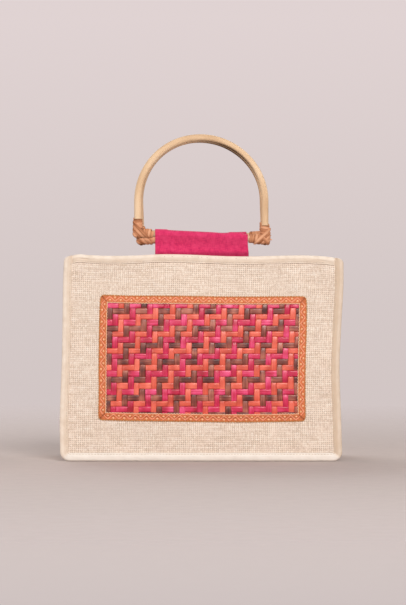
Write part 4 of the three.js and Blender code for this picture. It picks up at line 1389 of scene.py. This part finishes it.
def floor_disc():
    """Pale matte ground that fades out into the backdrop."""
    s = material("floor")
    place = s.node("ShaderNodeTexCoord").outputs["Object"]
    away = s.node("ShaderNodeVectorMath", {0: place}, operation="LENGTH").outputs["Value"]
    grain = s.noise(place, 60.0, 3.0)
    s.set(
        Base_Color=s.ramp(grain, [(0.3, (0.52, 0.452, 0.433)), (0.7, (0.55, 0.478, 0.458))]),
        Roughness=0.9,
        Specular_IOR_Level=0.1,
        Alpha=s.span(away, *FLOOR_FADE, 1.0, 0.0),
    )
    angle = circle(96)
    ring = stack(FLOOR_RADIUS * np.cos(angle), FLOOR_RADIUS * np.sin(angle), -FLOOR_DROP)
    mesher = Mesher()
    mesher.add(ring, [np.arange(len(ring))[None, :]], ring)
    return mesher.make("floor", [s.owner])


floor_disc()

# Colour of the backdrop by height, as the sine of the angle above the horizon
BACKDROP = [
    (-0.12, (0.60, 0.525, 0.515)),
    (0.0, (0.66, 0.58, 0.572)),
    (0.1, (0.745, 0.65, 0.648)),
]
ROOM = (0.27, 0.26, 0.255)  # light that the rest of the room sends back


def studio_world():
    """A pale backdrop in a dimmer room."""
    s = Shader(bpy.data.worlds.new("studio"))
    direction = s.node("ShaderNodeTexCoord").outputs["Generated"]
    low, high = BACKDROP[0][0], BACKDROP[-1][0]
    height = s.span(s.parts(direction)["Z"], low, high)
    colour = s.ramp(height, [((place - low) / (high - low), value) for place, value in BACKDROP])
    seen = s.node("ShaderNodeLightPath").outputs["Is Camera Ray"]
    s.put(s.tree.nodes["Background"].inputs["Color"], s.blend(seen, ROOM, colour))
    return s.owner


bpy.context.scene.world = studio_world()

LIGHT_TARGET = np.array([0, 0, 0.15])
FRONT_WHITE = (1.0, 0.97, 0.94)
FILL_WHITE = (1.0, 0.98, 0.96)
REAR_WHITE = (1.0, 0.975, 0.95)
# Each light's name, place, size, power and colour, and whether gloss shows it
LIGHTS = [
    ("key", (0.6, -2.75, 1.75), 1.3, 69, FRONT_WHITE, True),
    ("fill", (-1.3, -2.7, 0.9), 1.6, 17, FILL_WHITE, True),
    ("back", (-0.9, 2.6, 1.8), 2.4, 52, REAR_WHITE, False),
    ("left", (-2.6, 0.9, 1.5), 2.4, 20, REAR_WHITE, False),
    ("right", (2.6, 0.9, 1.5), 2.4, 20, REAR_WHITE, False),
]


def soft_light(name, place, size, power, colour, in_gloss):
    light = bpy.data.lights.new(name, "AREA")
    light.shape = "DISK"
    light.size = size
    light.energy = power
    light.color = colour
    lamp = bpy.data.objects.new(name, light)
    bpy.context.scene.collection.objects.link(lamp)
    towards = LIGHT_TARGET - np.array(place)
    yaw = math.atan2(towards[1], towards[0])
    tilt = math.atan2(math.hypot(towards[0], towards[1]), -towards[2])
    lamp.rotation_euler = (tilt, 0, yaw - math.pi / 2)
    lamp.location = place
    lamp.visible_glossy = in_gloss


for row in LIGHTS:
    soft_light(*row)

PHOTO_WIDTH = 406
PHOTO_HEIGHT = 605
PIXEL = 1.0638  # millimetres at the front of the bag
BASE_PIXEL = (201.45, 461.3)  # where the middle of the bag's base is
CAMERA_DISTANCE = 3.0  # from the front of the bag, in metres
SENSOR = 36

camera_data = bpy.data.cameras.new("camera")
camera = bpy.data.objects.new("camera", camera_data)
bpy.context.scene.collection.objects.link(camera)
camera_data.sensor_fit = "VERTICAL"
camera_data.sensor_height = SENSOR
camera_data.lens = SENSOR * CAMERA_DISTANCE / (PHOTO_HEIGHT * PIXEL * MM)
camera_x = (PHOTO_WIDTH / 2 - BASE_PIXEL[0]) * PIXEL * MM
camera_z = (BASE_PIXEL[1] - PHOTO_HEIGHT / 2) * PIXEL * MM
camera.location = (camera_x, -CAMERA_DISTANCE - BAG_DEPTH / 2 * MM, camera_z)
camera.rotation_euler = (math.pi / 2, 0, 0)
bpy.context.scene.camera = camera
bpy.context.scene.view_settings.view_transform = "Standard"
bpy.context.scene.view_settings.look = "None"
